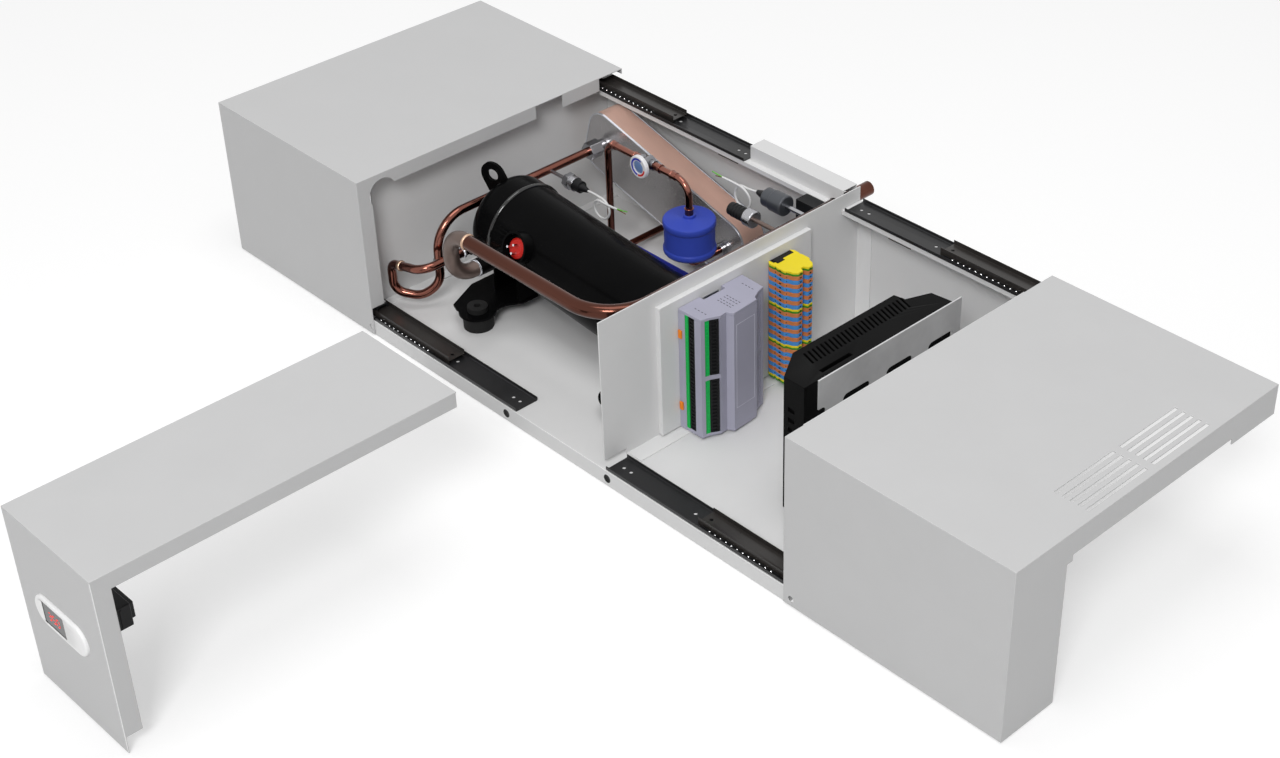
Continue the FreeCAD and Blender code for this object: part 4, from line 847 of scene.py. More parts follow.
@dataclass
class Slides:
    """Four ball slides with their balls."""

    metal_round: float = 0.25
    ball_radius: float = 1.6
    ball_offset: float = 14.5
    ball_level: float = 4.0
    pitch: float = 9.0
    cage_length: float = 125.0
    cage_rise: float = 1.4
    count: int = 12
    names: tuple[str, ...] = ("left_near", "left_far", "right_near", "right_far")

    def balls(self, name: str) -> Piece:
        """Two rows of balls in a cage, as copies of one small round grid.

        A ball's point is centre + radius * (sin p cos a, sin p sin a, cos p).

        Args:
            name: Name of the slide.

        Returns:
            The object.
        """
        low, high = map(local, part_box(f"{name}_ball_cage"))
        middle = (low + high) / 2
        first = (self.cage_length - (self.count - 1) * self.pitch) / 2
        along = low[0] + first + self.pitch * np.arange(self.count)
        web = low[2] - self.cage_rise
        centres = np.array([(x, middle[1] + side * self.ball_offset, web + self.ball_level)
                            for side in (-1, 1) for x in along])
        polar = np.linspace(0.02, np.pi - 0.02, 9)[:, None]
        angle = np.linspace(0.0, 2.0 * np.pi, 12, endpoint=False)[None, :]
        ball = np.stack([np.sin(polar) * np.cos(angle), np.sin(polar) * np.sin(angle),
                         np.repeat(np.cos(polar), 12, axis=1)], axis=-1)
        points = centres[:, None, None, :] + ball[None] * self.ball_radius
        return Shapes.smooth(Shapes.closed_grids(f"{name}_balls", points), 60.0)

    def build(self) -> None:
        """Members, cages and balls of the four slides."""
        for name in self.names:
            side = name.split("_")[0]
            for part, body in (("fixed_member", "chassis"), ("middle_member", f"{name}_middle"),
                               ("inner_member", f"{side}_hood")):
                rounded(f"{name}_{part}_rolled", f"{name}_{part}", self.metal_round,
                        FINISH.rail if part == "middle_member" else FINISH.slide, body)
            dress_node(f"{name}_ball_cage", FINISH.slide)
            settle(self.balls(name), FINISH.ball, f"{name}_cage")


@dataclass
class Covers:
    """The two hoods and the middle cover with its display."""

    sheet_round: float = 0.55
    display_x: float = -3.0
    window_shift: float = -12.0
    front: float = -873.0
    face: float = -869.0
    level: float = 124.0
    bezel: tuple[float, float, float] = (100.0, 38.0, 4.0)
    window: Pair = (42.0, 28.0)
    # Width of the black bars that are painted shadow inside the window.
    window_shadow_width: float = 1.1
    module: tuple[float, float, float] = (71.0, 29.0, 58.0)

    def digit(self, name: str, x: float, lit: str) -> Piece:
        """Seven-segment digit, each lit segment a slim six-cornered bar.

        Args:
            name: Name of the new object.
            x: Middle of the digit in millimetres.
            lit: Letters a to g of the segments that are lit.

        Returns:
            The object.
        """
        width, height, thick = 5.4, 10.0, 1.3
        places = {"a": (0, 1, True), "b": (0.5, 0.5, False), "c": (0.5, -0.5, False),
                  "d": (0, -1, True), "e": (-0.5, -0.5, False), "f": (-0.5, 0.5, False),
                  "g": (0, 0, True)}
        half, tip = width / 2 - 0.9, thick / 2
        flat = np.array([(-half, 0), (-half + tip, tip), (half - tip, tip), (half, 0),
                         (half - tip, -tip), (-half + tip, -tip)])
        upright = (height / 2 - 1.2) / (2 * half)
        rings = []
        for letter in lit:
            u, v, level = places[letter]
            bar = flat if level else flat[:, ::-1] * np.array([1.0, upright])
            outline = np.stack([x + bar[:, 0] + u * width,
                                np.full(6, self.front + 0.45),
                                self.level + bar[:, 1] + v * height / 2], axis=1)
            rings.append(np.stack([outline, outline + np.array([0.0, -0.15, 0.0])]))
        return Shapes.closed_grids(name, np.stack(rings))

    def build(self) -> None:
        """Rounded covers, the bezel, the smoked window and its digits."""
        for node in ("left_hood", "right_hood", "middle_cover"):
            rounded(f"{node}_folded", node, self.sheet_round, FINISH.cover_coat, node)
        dress_node("display_window", FINISH.window)
        self.display()
        low, high = map(local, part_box("middle_cover"))
        # A white strip down the cover's near right edge is a painted highlight.
        edge = Shapes.box("middle_cover_edge_highlight", (high[0] - 0.7, low[1] - 0.15, low[2] + 1.0),
                          (high[0] + 0.15, low[1] + 0.7, high[2] - 2.0))
        settle(Shapes.soften(edge, 0.2), FINISH.bezel, "middle_cover")
        centre = self.display_x + self.window_shift
        for name, shift, lit in (("tens", -8.0, "abcdg"), ("ones", 0.0, "afgcd"),
                                 ("tenths", 8.0, "abcdef")):
            settle(self.digit(f"display_digit_{name}", centre + shift, lit), FINISH.digit, "middle_cover")


    def stadium(self, inset: float, y: float, steps: int = 20) -> Array:
        """Outline of a bar with round ends, drawn in by an inset, at a depth y."""
        radius = self.bezel[1] / 2 - inset
        half = (self.bezel[0] - self.bezel[1]) / 2
        angle = np.linspace(-np.pi / 2, np.pi / 2, steps)
        right = np.stack([half + radius * np.cos(angle), radius * np.sin(angle)], axis=1)
        flat = np.concatenate([right, -right])
        return np.stack([self.display_x + flat[:, 0], np.full(len(flat), y),
                         self.level + flat[:, 1]], axis=1)

    def window_ring(self, grow: float, y: float, steps: int = 40) -> Array:
        """Rectangle round the window with as many points as the bezel's outline.

        Each point of a unit circle is pushed out to the rectangle's edge, so the rings
        of the bezel and of its window can be joined corner by corner.

        Args:
            grow: How much larger than the window it is, in millimetres.
            y: Depth of the ring.
            steps: Number of points.

        Returns:
            Array of shape (steps, 3).
        """
        angle = np.concatenate([np.linspace(-np.pi / 2, np.pi / 2, steps // 2),
                                np.linspace(np.pi / 2, 1.5 * np.pi, steps // 2)])
        unit = np.stack([np.cos(angle), np.sin(angle)], axis=1)
        half = np.array([self.window[0] / 2 + grow, self.window[1] / 2 + grow])
        flat = np.clip(unit * 1.5, -1.0, 1.0) * half
        x = self.display_x + self.window_shift + flat[:, 0]
        return np.stack([x, np.full(len(x), y), self.level + flat[:, 1]], axis=1)

    def display(self) -> None:
        """White bezel sunk round its window, painted shadow at the window's left and bottom, and the black
        module behind it.
        """
        thin = self.front
        rings = [self.stadium(0.0, self.face - 0.05), self.stadium(0.0, thin + 2.0),
                 self.stadium(0.4, thin + 0.9), self.stadium(1.2, thin + 0.25), self.stadium(2.4, thin),
                 self.stadium(3.4, thin), self.window_ring(0.5, thin), self.window_ring(0.0, thin + 0.4),
                 self.window_ring(0.0, thin + 1.7)]
        bezel = Shapes.closed_grid("display_bezel", np.stack(rings))
        settle(Shapes.smooth(bezel, 40.0), FINISH.bezel, "middle_cover", "display_unit")
        left = self.display_x + self.window_shift - self.window[0] / 2
        low = self.level - self.window[1] / 2
        wall = self.window_shadow_width
        # Black bars on the window's left and bottom walls: painted shadow cast by the bezel's thickness.
        bars = np.array([(left, thin + 0.3, low, left + wall, thin + 1.7, low + self.window[1]),
                         (left, thin + 0.3, low, left + self.window[0], thin + 1.7, low + wall)])
        settle(Shapes.blocks("display_window_painted_shadow", bars), FINISH.black, "middle_cover")
        wide, high, deep = self.module
        x0, x1 = self.display_x - wide / 2, self.display_x + wide / 2
        z0, z1 = self.level - high / 2, self.level + high / 2
        body = Shapes.box("display_module", (x0, self.face, z0), (x1, self.face + deep, z1))
        settle(Shapes.soften(body, 1.2, 3), FINISH.black, "middle_cover")
        plug = Shapes.box("display_plug", (self.display_x - 30.0, self.face + deep, z0 + 4),
                          (self.display_x + 30.0, self.face + deep + 6, z1 - 4))
        settle(Shapes.soften(plug, 0.8), FINISH.black, "middle_cover")
        ribs = np.array([(x0 - 0.8, y, z0 + 3.0, x1 + 0.8, y + 2.0, z1 - 3.0)
                         for y in np.arange(self.face + 10.0, self.face + deep - 6, 7.0)])
        settle(Shapes.blocks("display_ribs", ribs), FINISH.black, "middle_cover")


@dataclass
class Compressor:
    """Horizontal compressor with its terminal, feet and rubber mounts."""

    centre: Point = (-170.0, -36.5, 116.7)
    tilt: float = 5.26
    left: float = -315.0
    cap_length: float = 46.0
    radius: float = 62.5

    def axis_point(self, x: float) -> Point:
        """Point of the leaning axis at a distance along the unit."""
        drop = (x - self.centre[0]) * math.tan(math.radians(self.tilt))
        return (x, self.centre[1], self.centre[2] - drop)

    def build(self) -> None:
        """Painted shell, insulated disc, pins and grommets."""
        rounded("compressor_shell_painted", "compressor_shell", 0.8, FINISH.shell)
        for part, finish in (("terminal_disc", FINISH.disc), ("terminal_pins", FINISH.pin),
                             ("grommets", FINISH.rubber)):
            dress_node(f"compressor_{part}", finish)
        lean = math.radians(self.tilt)
        axis = (math.cos(lean), 0.0, -math.sin(lean))
        bead = [(-1.0, self.radius - 2.0), (-1.0, self.radius - 0.2), (-0.2, self.radius + 0.8),
                (0.8, self.radius + 1.4), (2.0, self.radius + 1.6), (3.2, self.radius + 1.4),
                (4.2, self.radius + 0.8), (5.0, self.radius - 0.2), (5.0, self.radius - 2.0)]
        made = Shapes.turned("compressor_weld_left", self.axis_point(self.left + self.cap_length - 2.0),
                             axis, bead, 128)
        settle(Shapes.smooth(made, 50.0), FINISH.seam)


@dataclass
class Refrigerant:
    """Suction, discharge and liquid lines with what sits on them."""

    suction_radius: float = 9.55
    suction_bore: float = 8.35
    suction_x: float = 65.7
    suction_y: float = -186.2
    suction_level: float = 201.0
    suction_joint: float = -193.0
    suction_port: Point = (-230.0, -150.0, 131.0)
    discharge_radius: float = 6.0
    liquid_radius: float = 4.75
    liquid_bore: float = 3.75
    liquid_y: float = 96.0
    liquid_level: float = 209.5
    sight_x: float = -171.5
    glass_front: float = 79.0
    glass_reach: float = 13.0
    riser_x: float = -250.7
    outlet_level: float = 38.0
    outlet_end: float = 237.9
    drier_x: float = -95.5
    drier_ends: Pair = (102.6, 163.7)
    elbow_coat: float = 0.6
    discharge_loop: tuple[Point, ...] = ((-305.0, -103.0, 106.0), (-305.0, -180.0, 106.0),
                                         (-374.0, -180.0, 88.0), (-374.0, -180.0, 46.0),
                                         (-345.0, -158.0, 40.0))
    gas_riser_y: float = -135.0
    gas_union_y: float = 127.3
    gas_port: Point = (0.0, 0.0, 0.0)
    liquid_port: Point = (0.0, 0.0, 0.0)

    def __post_init__(self) -> None:
        """Takes the two ports from the heat exchanger."""
        self.gas_port, self.liquid_port = HeatExchanger().ports()

    def pipe(self, name: str, route: Route, radius: float, finish: Finish, node: str,
             bore: float = 0.0) -> Piece:
        """Swept pipe that replaces a frame piece."""
        made = Pipes.swept(name, route.stations(), radius, 48, bore)
        return settle(Shapes.smooth(made, 50.0), finish, "chassis", node)

    def bead(self, name: str, point: Point, axis: Point, radius: float, width: float,
             rise: float, finish: Finish) -> None:
        """Brazed ring: a low dome of a given rise round a pipe."""
        across = np.linspace(-1.0, 1.0, 9)
        profile = [(float(u) * width / 2, radius - 0.3 + (rise + 0.3) * math.sqrt(max(0.0, 1 - u * u)))
                   for u in across]
        made = Shapes.turned(name, point, axis, profile, 48)
        settle(Shapes.smooth(made, 60.0), finish)

    def build(self) -> None:
        """All lines, from the compressor's ports to the open ends."""
        sy, sz, joint = self.suction_y, self.suction_level, self.suction_joint
        suction = Route([(joint, sy, sz), (self.suction_x, sy, sz), (self.suction_x, 261.0, sz)],
                        [64.0])
        # The suction line takes the darkened copper, painted shade of its dark reflections.
        self.pipe("suction_line_drawn", suction, self.suction_radius, FINISH.shaded_copper, "suction_line",
                  self.suction_bore)
        x, y, z = self.suction_port
        elbow = Route([(x, y, z), (x, sy, z), (x, sy, sz), (joint, sy, sz)], [32.0, 32.0])
        radius = self.suction_radius + self.elbow_coat
        self.pipe("suction_elbow_coated", elbow, radius, FINISH.pipe, "suction_elbow")
        self.bead("suction_joint", (joint, sy, sz), (1, 0, 0), self.suction_radius + 0.4, 4.0, 1.0,
                  FINISH.braze)
        # The port ring's light steel is a painted highlight on its edge.
        self.bead("suction_port_ring", (x, y + 1.0, z), (0, 1, 0), radius, 3.0, 1.4, FINISH.bright)
        gas, liquid = self.gas_port, self.liquid_port
        discharge = Route([*self.discharge_loop, (gas[0], self.gas_riser_y, 56.0),
                           (gas[0], self.gas_riser_y, gas[2]), (gas[0], self.gas_union_y, gas[2])],
                          [20.0, 14.0, 18.0, 30.0, 30.0, 46.0], 2.5)
        self.pipe("discharge_line_drawn", discharge, self.discharge_radius, FINISH.copper,
                  "discharge_line")
        inlet = Route([(liquid[0], 147.3, liquid[2]), (self.drier_x, self.liquid_y, liquid[2]),
                       (self.drier_x, self.liquid_y, self.drier_ends[0])], [12.0], 2.0)
        self.pipe("drier_inlet_drawn", inlet, self.liquid_radius, FINISH.copper, "drier_inlet_pipe")
        y, top = self.liquid_y, self.liquid_level
        outlet = Route([(self.drier_x, y, self.drier_ends[1]), (self.drier_x, y, top),
                        (self.sight_x + self.glass_reach, y, top)], [22.0], 2.0)
        self.pipe("drier_outlet_drawn", outlet, self.liquid_radius, FINISH.copper, "drier_outlet_pipe")
        riser, low = self.riser_x, self.outlet_level
        down = Route([(self.sight_x - self.glass_reach, y, top), (riser, y, top), (riser, y, low),
                      (riser, self.outlet_end, low)], [16.0, 16.0], 2.0)
        self.pipe("liquid_outlet_drawn", down, self.liquid_radius, FINISH.copper, "liquid_outlet_pipe",
                  self.liquid_bore)
        self.fittings()
        self.drier()
        self.sight_glass()
        dress_node("suction_clamp", FINISH.black)

    def collar(self, name: str, point: Point, axis: Point, length: float) -> None:
        """Short socket with a rolled lip, brazed round a liquid pipe."""
        radius = self.liquid_radius
        profile = [(0.0, radius - 0.2), (0.0, radius + 0.9), (length - 1.6, radius + 0.9),
                   (length - 1.0, radius + 1.6), (length, radius + 1.6), (length, radius - 0.2)]
        made = Shapes.turned(f"collar_{name}", point, axis, profile, 48)
        settle(Shapes.soften(Shapes.smooth(made), 0.3), FINISH.copper)

    def fittings(self) -> None:
        """Brazed collars and beads where the pipes are joined."""
        y, top = self.liquid_y, self.liquid_level
        for name, point, axis, length in (
                ("drier_top", (self.drier_x, y, self.drier_ends[1]), (0, 0, 1), 9.0),
                ("elbow_right", (self.drier_x - 22.0, y, top), (-1, 0, 0), 9.0),
                ("glass_left", (self.sight_x - self.glass_reach, y, top), (-1, 0, 0), 12.0),
                ("glass_right", (self.sight_x + self.glass_reach, y, top), (1, 0, 0), 12.0),
                ("riser_top", (self.riser_x + 18.0, y, top), (-1, 0, 0), 7.0)):
            self.collar(name, point, axis, length)
        gas = self.gas_port
        # The discharge port bead's light steel is a painted highlight.
        for name, point, axis, width, rise, finish in (
                ("discharge_joint", (-352.0, -180.0, 93.7), (-0.968, 0.0, -0.252), 7.0, 1.3,
                 FINISH.braze),
                ("riser_joint", (gas[0], self.gas_riser_y, 92.0), (0, 0, 1), 6.0, 1.6, FINISH.fitting),
                ("discharge_port_bead", (-305.0, -114.0, 106.0), (0, -1, 0), 4.0, 1.8,
                 FINISH.bright)):
            self.bead(name, point, axis, self.discharge_radius, width, rise, finish)

    def drier(self) -> None:
        """Blue drier with pressed rims and a slight waist."""
        profile = [(102.6, 0.0), (102.6, 8.0), (106.6, 8.0), (107.4, 9.2), (108.0, 30.0),
                   (109.2, 33.0), (112.0, 35.0), (116.6, 35.0), (117.6, 34.4), (119.0, 33.4),
                   (147.4, 33.4), (148.8, 34.6), (149.6, 35.0), (155.6, 35.0), (157.4, 34.0),
                   (158.4, 31.0), (159.0, 9.4), (159.8, 8.0), (163.7, 8.0), (163.7, 0.0)]
        made = Shapes.turned("filter_drier_painted", (self.drier_x, self.liquid_y, 0.0), (0, 0, 1),
                             profile, 96)
        settle(Shapes.soften(Shapes.smooth(made, 40.0), 0.5), FINISH.blue, "chassis", "filter_drier")

    def arc(self, name: str, start: float, end: float, finish: Finish) -> None:
        """Coloured arc on the indicator's ring, a shallow band between two angles.

        Each ring of the band is centre + r * (cos a, 0, sin a), at one angle a.

        Args:
            name: Name of the new object.
            start: First angle in degrees.
            end: Last angle in degrees.
            finish: Finish of the arc.
        """
        inner, outer, front, thick = 10.2, 12.7, self.glass_front - 1.3, 1.2
        angle = np.radians(np.linspace(start, end, 24))
        section = np.array([(inner, 0.0), (outer, 0.0), (outer, thick), (inner, thick)])
        x = self.sight_x + section[None, :, 0] * np.cos(angle)[:, None]
        z = self.liquid_level + section[None, :, 0] * np.sin(angle)[:, None]
        y = np.broadcast_to(front + section[None, :, 1], x.shape)
        made = Shapes.closed_grid(name, np.stack([x, y, z], axis=-1))
        settle(made, finish)

    def sight_glass(self) -> None:
        """Sight glass: bright body, white enamel ring, coloured arcs and a domed glass."""
        cup = [(0.0, 0.0), (0.0, 7.0), (1.0, 8.2), (14.0, 8.2), (16.0, 9.6), (18.5, 13.6), (20.0, 14.8),
               (23.2, 14.8), (23.2, 0.0)]
        made = Shapes.turned("sight_glass_cup", (self.sight_x, self.liquid_y + 8.0, self.liquid_level),
                             (0, -1, 0), cup, 64)
        settle(Shapes.smooth(made, 40.0), FINISH.chrome, "chassis", "sight_glass_body")
        tee = [(0.0, 4.0), (0.0, 6.9), (1.0, 7.4), (4.0, 7.4), (5.0, 6.6), (21.0, 6.6), (22.0, 7.4),
               (25.0, 7.4), (26.0, 6.9), (26.0, 4.0)]
        made = Shapes.turned("sight_glass_tee", (self.sight_x - self.glass_reach, self.liquid_y,
                                                 self.liquid_level), (1, 0, 0), tee, 48)
        settle(Shapes.smooth(made, 40.0), FINISH.chrome)
        centre = (self.sight_x, self.glass_front + 4.0, self.liquid_level)
        rim = [(0.0, 12.0), (0.0, 15.7), (4.4, 15.7), (5.2, 15.1), (5.5, 14.0), (5.2, 12.8), (4.9, 12.7),
               (4.9, 9.0), (3.6, 8.8), (3.6, 12.0)]
        angle = np.linspace(0.0, 2.0 * np.pi, 65)[:-1, None]
        section = np.array(rim)[None]
        x = centre[0] + section[..., 1] * np.cos(angle)
        z = centre[2] + section[..., 1] * np.sin(angle)
        y = np.broadcast_to(centre[1] - section[..., 0], x.shape)
        ring = Shapes.looped_grid("sight_glass_ring", np.stack([x, y, z], axis=-1))
        settle(Shapes.smooth(ring, 40.0), FINISH.ring)
        glass = [(0.0, 0.0), (0.0, 10.2), (0.4, 10.2), (1.6, 8.6), (2.2, 5.5), (2.5, 0.0)]
        made = Shapes.turned("sight_glass_dome", (self.sight_x, self.glass_front + 1.6, self.liquid_level),
                             (0, -1, 0), glass, 64)
        settle(Shapes.smooth(made, 60.0), FINISH.lens, "chassis", "sight_glass_lens")
        self.arc("indicator_arc_blue", 60.0, 262.0, FINISH.mark)
        self.arc("indicator_arc_red", 268.0, 352.0, FINISH.red)


@dataclass
class HeatExchanger:
    """Tilted brazed plate heat exchanger."""

    tilt: float = -15.4
    length: float = 310.0
    height: float = 92.0
    corner: float = 28.0
    centre: Point = (-212.9, 155.3, 118.4)
    depth: float = 43.0
    cover: float = 3.0
    plates: int = 24
    port_inset: float = 33.2

    def ports(self) -> tuple[Point, Point]:
        """Gas port and liquid port, near the two ends of the pack's tilted middle line."""
        tilt = math.radians(self.tilt)
        reach = self.length / 2 - self.port_inset
        x, y, z = self.centre
        return ((x - reach * math.cos(tilt), y, z - reach * math.sin(tilt)),
                (x + reach * math.cos(tilt), y, z + reach * math.sin(tilt)))

    def outline(self, inset: float, steps: int = 12) -> Array:
        """Rounded rectangle in the tilted plane.

        Args:
            inset: How far it is drawn in, in millimetres.
            steps: Points in each corner.

        Returns:
            Array of shape (4 * steps, 3), at depth 0.
        """
        radius = self.corner - inset
        half = np.array([self.length / 2 - self.corner, self.height / 2 - self.corner])
        turns = []
        for number, (sx, sz) in enumerate(((1, 1), (-1, 1), (-1, -1), (1, -1))):
            angle = np.linspace(number * np.pi / 2, (number + 1) * np.pi / 2, steps)
            turns.append(np.stack([sx * half[0] + radius * np.cos(angle),
                                   sz * half[1] + radius * np.sin(angle)], axis=1))
        flat = np.concatenate(turns)
        tilt = math.radians(self.tilt)
        x = self.centre[0] + flat[:, 0] * math.cos(tilt) - flat[:, 1] * math.sin(tilt)
        z = self.centre[2] + flat[:, 0] * math.sin(tilt) + flat[:, 1] * math.cos(tilt)
        return np.stack([x, np.zeros(len(x)), z], axis=1)

    def slab(self, name: str, rings: Profile) -> Piece:
        """Slab whose rings are (depth, inset) pairs of the rounded outline."""
        stack = [self.outline(inset) + np.array([0.0, self.centre[1] + deep, 0.0])
                 for deep, inset in rings]
        return Shapes.closed_grid(name, np.stack(stack))

    def edge_band(self, name: str, start: float, end: float) -> None:
        """Pressed rim round a cover plate, a closed band of six ring lines, painted bright as a highlight.
        """
        rings = np.stack([self.outline(inset) + np.array([0.0, self.centre[1] + deep, 0.0])
                          for deep, inset in ((start, 1.8), (start, 0.3), (start + 0.3, 0.0),
                                              (end - 0.3, 0.0), (end, 0.3), (end, 1.8))])
        made = Shapes.looped_grid(name, rings)
        settle(Shapes.smooth(made, 40.0), FINISH.bright)

    def build(self) -> None:
        """Zigzag plate pack, cover plates, fittings and the blue foot rail."""
        near, far = self.cover, self.depth - self.cover
        pitch = (far - near) / self.plates
        rings = []
        for number in range(self.plates):
            start = near + number * pitch
            rings += [(start, 2.0), (start + pitch * 0.3, 0.5), (start + pitch * 0.7, 0.5),
                      (start + pitch, 2.0)]
        pack = self.slab("heat_exchanger_plates", rings)
        settle(Shapes.smooth(pack, 30.0), FINISH.plates, "chassis", "heat_exchanger_pack")
        front = self.slab("heat_exchanger_front", [(near, 0.6), (0.6, 0.6), (0.6, 1.6), (0.5, 3.4),
                                                   (0.5, 26.0)])
        settle(Shapes.smooth(front, 30.0), FINISH.cover, "chassis", "heat_exchanger_covers")
        back = self.slab("heat_exchanger_back", [(far, 0.6), (self.depth - 0.6, 0.6),
                                                 (self.depth - 0.4, 2.0), (self.depth - 0.4, 26.0)])
        settle(Shapes.smooth(back, 30.0), FINISH.cover)
        for name, start in (("near", 0.0), ("far", far)):
            self.edge_band(f"heat_exchanger_edge_{name}", start, start + self.cover)
        rounded("heat_exchanger_unions", "heat_exchanger_fittings", 0.5, FINISH.fitting)
        rounded("heat_exchanger_rail", "heat_exchanger_foot_rail", 0.4, FINISH.foot)


@dataclass
class Sensors:
    """Pressure sensors and their free leads."""

    lead_radius: float = 1.6
    route_a: tuple = ((0, 0, 0), (18, 0.5, 1.2), (37, 0.5, -1), (44.5, 1.2, -14.6), (36.6, 2, -28),
                      (21, 3, -28), (13.2, 3.8, -14.4), (22, 4.6, -0.9), (42, 5, -2.2), (62, 4, -0.8))
    route_c: tuple = ((0, 0, 0), (15, 0.5, -2.6), (33, 0.5, -1.5), (42, 1.2, -17), (33, 2, -32),
                      (16, 3, -32.4), (7, 3.8, -17), (16.6, 4.6, -1.8), (38, 5, 0.4), (60, 4, -1.2))

    def parts(self, name: str, origin: Point, axis: Point, node: str,
              pieces: list[tuple[str, Profile, Finish, int]]) -> None:
        """Turned pieces of one sensor, the first of which stands for the frame piece."""
        for number, (part, profile, finish, steps) in enumerate(pieces):
            made = Shapes.turned(f"{name}_{part}", origin, axis, profile, steps)
            settle(Shapes.soften(Shapes.smooth(made, 30.0), 0.4), finish, "chassis",
                   *((node,) if number == 0 else ()))

    def cores(self, name: str, points: list[Point]) -> list[Piece]:
        """Two bare cores that leave the lead's end, slightly apart.

        Each is end + t * length * ahead + t * t * spread * side, for t from 0 to 1.

        Args:
            name: Name of the lead.
            points: Control points of the lead in metres.

        Returns:
            The two objects.
        """
        end = local(points[-1])
        ahead = end - local(points[-2])
        ahead /= np.linalg.norm(ahead)
        share = np.linspace(0.0, 1.0, 8)[:, None]
        made = []
        for part, finish, length, side in (("green", FINISH.green_core, 20.0, (0.0, -0.3, 1.0)),
                                           ("brown", FINISH.brown_core, 15.0, (0.0, 0.3, -1.0))):
            centres = (end - ahead + np.array(side) * 0.7 + share * ahead * length
                       + share ** 2 * np.array(side) * 2.2)
            core = Pipes.swept(f"{name}_{part}", centres, 0.75, 14)
            made.append(settle(Shapes.smooth(core, 50.0), finish))
        return made

    def lead(self, name: str, start: Point, way: int, route: tuple, node: str) -> None:
        """Free lead as one smooth spline along its route's control points.

        Args:
            name: Name of the new object.
            start: Where it leaves the sensor, in millimetres.
            way: 1 if it leaves to the right, -1 if to the left.
            route: Steps from the start: along its way, towards the near side, and up.
            node: Frame piece that it stands for.
        """
        points = [at(start[0] + way * a, start[1] - n, start[2] + u) for a, n, u in route]
        curve = bpy.data.curves.new(name, "CURVE")
        curve.dimensions = "3D"
        spline = curve.splines.new("NURBS")
        spline.points.add(len(points) - 1)
        for control, point in zip(spline.points, points):
            control.co = (*point, 1.0)
        spline.order_u = 3
        spline.use_endpoint_u = True
        curve.resolution_u = 12
        curve.bevel_depth = self.lead_radius * MM
        curve.bevel_resolution = 5
        curve.use_fill_caps = True
        made = placed(name, curve)
        settle(made, FINISH.sheath, "chassis", node)
        cores = self.cores(name, points)
        bare = curve.copy()
        bare.bevel_depth = 0.0
        probe = bpy.data.objects.new(f"{name}_probe", bare)
        mesh = bpy.data.meshes.new_from_object(probe)
        path = np.empty(len(mesh.vertices) * 3)
        mesh.vertices.foreach_get("co", path)
        path = path.reshape(-1, 3)
        bpy.data.objects.remove(probe)
        bpy.data.meshes.remove(mesh)
        bpy.data.curves.remove(bare)
        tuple(points[0])

    def build(self) -> None:
        """Three sensors and two leads."""
        lines = Refrigerant()
        gas, branch, level = lines.gas_port, lines.suction_x - lines.suction_radius, lines.suction_level
        start = (gas[0] + 6.0, 57.6, gas[2])
        self.parts("high_pressure_sensor", start, (1, 0, 0), "high_pressure_sensor", [
            ("stem", [(-2, 0), (-2, 2.6), (32, 2.6), (32, 0)], FINISH.fitting, 32),
            ("flange", [(30, 2), (30, 7.5), (34, 7.5), (34, 2)], FINISH.fitting, 48),
            ("hex", [(33, 2), (33, 11.5), (42, 11.5), (42, 2)], FINISH.fitting, 6),
            ("barrel", [(42, 2), (42, 10.0), (51, 10.0), (51, 2)], FINISH.fitting, 48),
            ("cap", [(51, 2), (51, 8.4), (62, 8.4), (62, 6.0), (75, 2.6), (75, 0)], FINISH.black, 48)])
        low = (branch, 100.8, level)
        ribs: Profile = [(51.0, 2.0), (51.0, 8.6)]
        for number in range(4):
            rise = 56.0 + 5 * number
            ribs += [(rise, 8.6), (rise, 9.4), (rise + 2.4, 9.4), (rise + 2.4, 8.6)]
        ribs += [(79.0, 8.6), (79.0, 0.0)]
        self.parts("low_pressure_sensor", low, (-1, 0, 0), "low_pressure_sensor", [
            ("stem", [(-2, 0), (-2, 3.0), (37, 3.0), (37, 0)], FINISH.pipe, 32),
            ("body", [(36, 2), (36, 10.4), (37.2, 11.6), (49.6, 11.6), (51, 10.4), (51, 2)],
             FINISH.fitting, 64),
            ("plug", ribs, FINISH.black, 48)])
        high = (branch, 153.0, level)
        self.parts("suction_sensor", high, (-1, 0, 0), "suction_sensor", [
            ("stem", [(-2, 0), (-2, 3.2), (33, 3.2), (33, 0)], FINISH.fitting, 32),
            ("body", [(32, 2), (32, 12.6), (33.4, 14.0), (54, 14.0), (54, 2)], FINISH.sensor, 64),
            ("shoulder", [(54, 2), (54, 12.6), (66.8, 12.6), (68, 11.4), (68, 2)], FINISH.sensor, 64),
            ("gland", [(68, 0), (68, 7.5), (84, 3.0), (84, 0)], FINISH.black, 48)])
        self.lead("high_pressure_lead_wire", (gas[0] + 81.0, 57.6, gas[2]), 1, self.route_a,
                  "high_pressure_lead")
        self.lead("suction_lead_wire", (branch - 84.0, 153.0, level), -1, self.route_c,
                  "suction_lead")


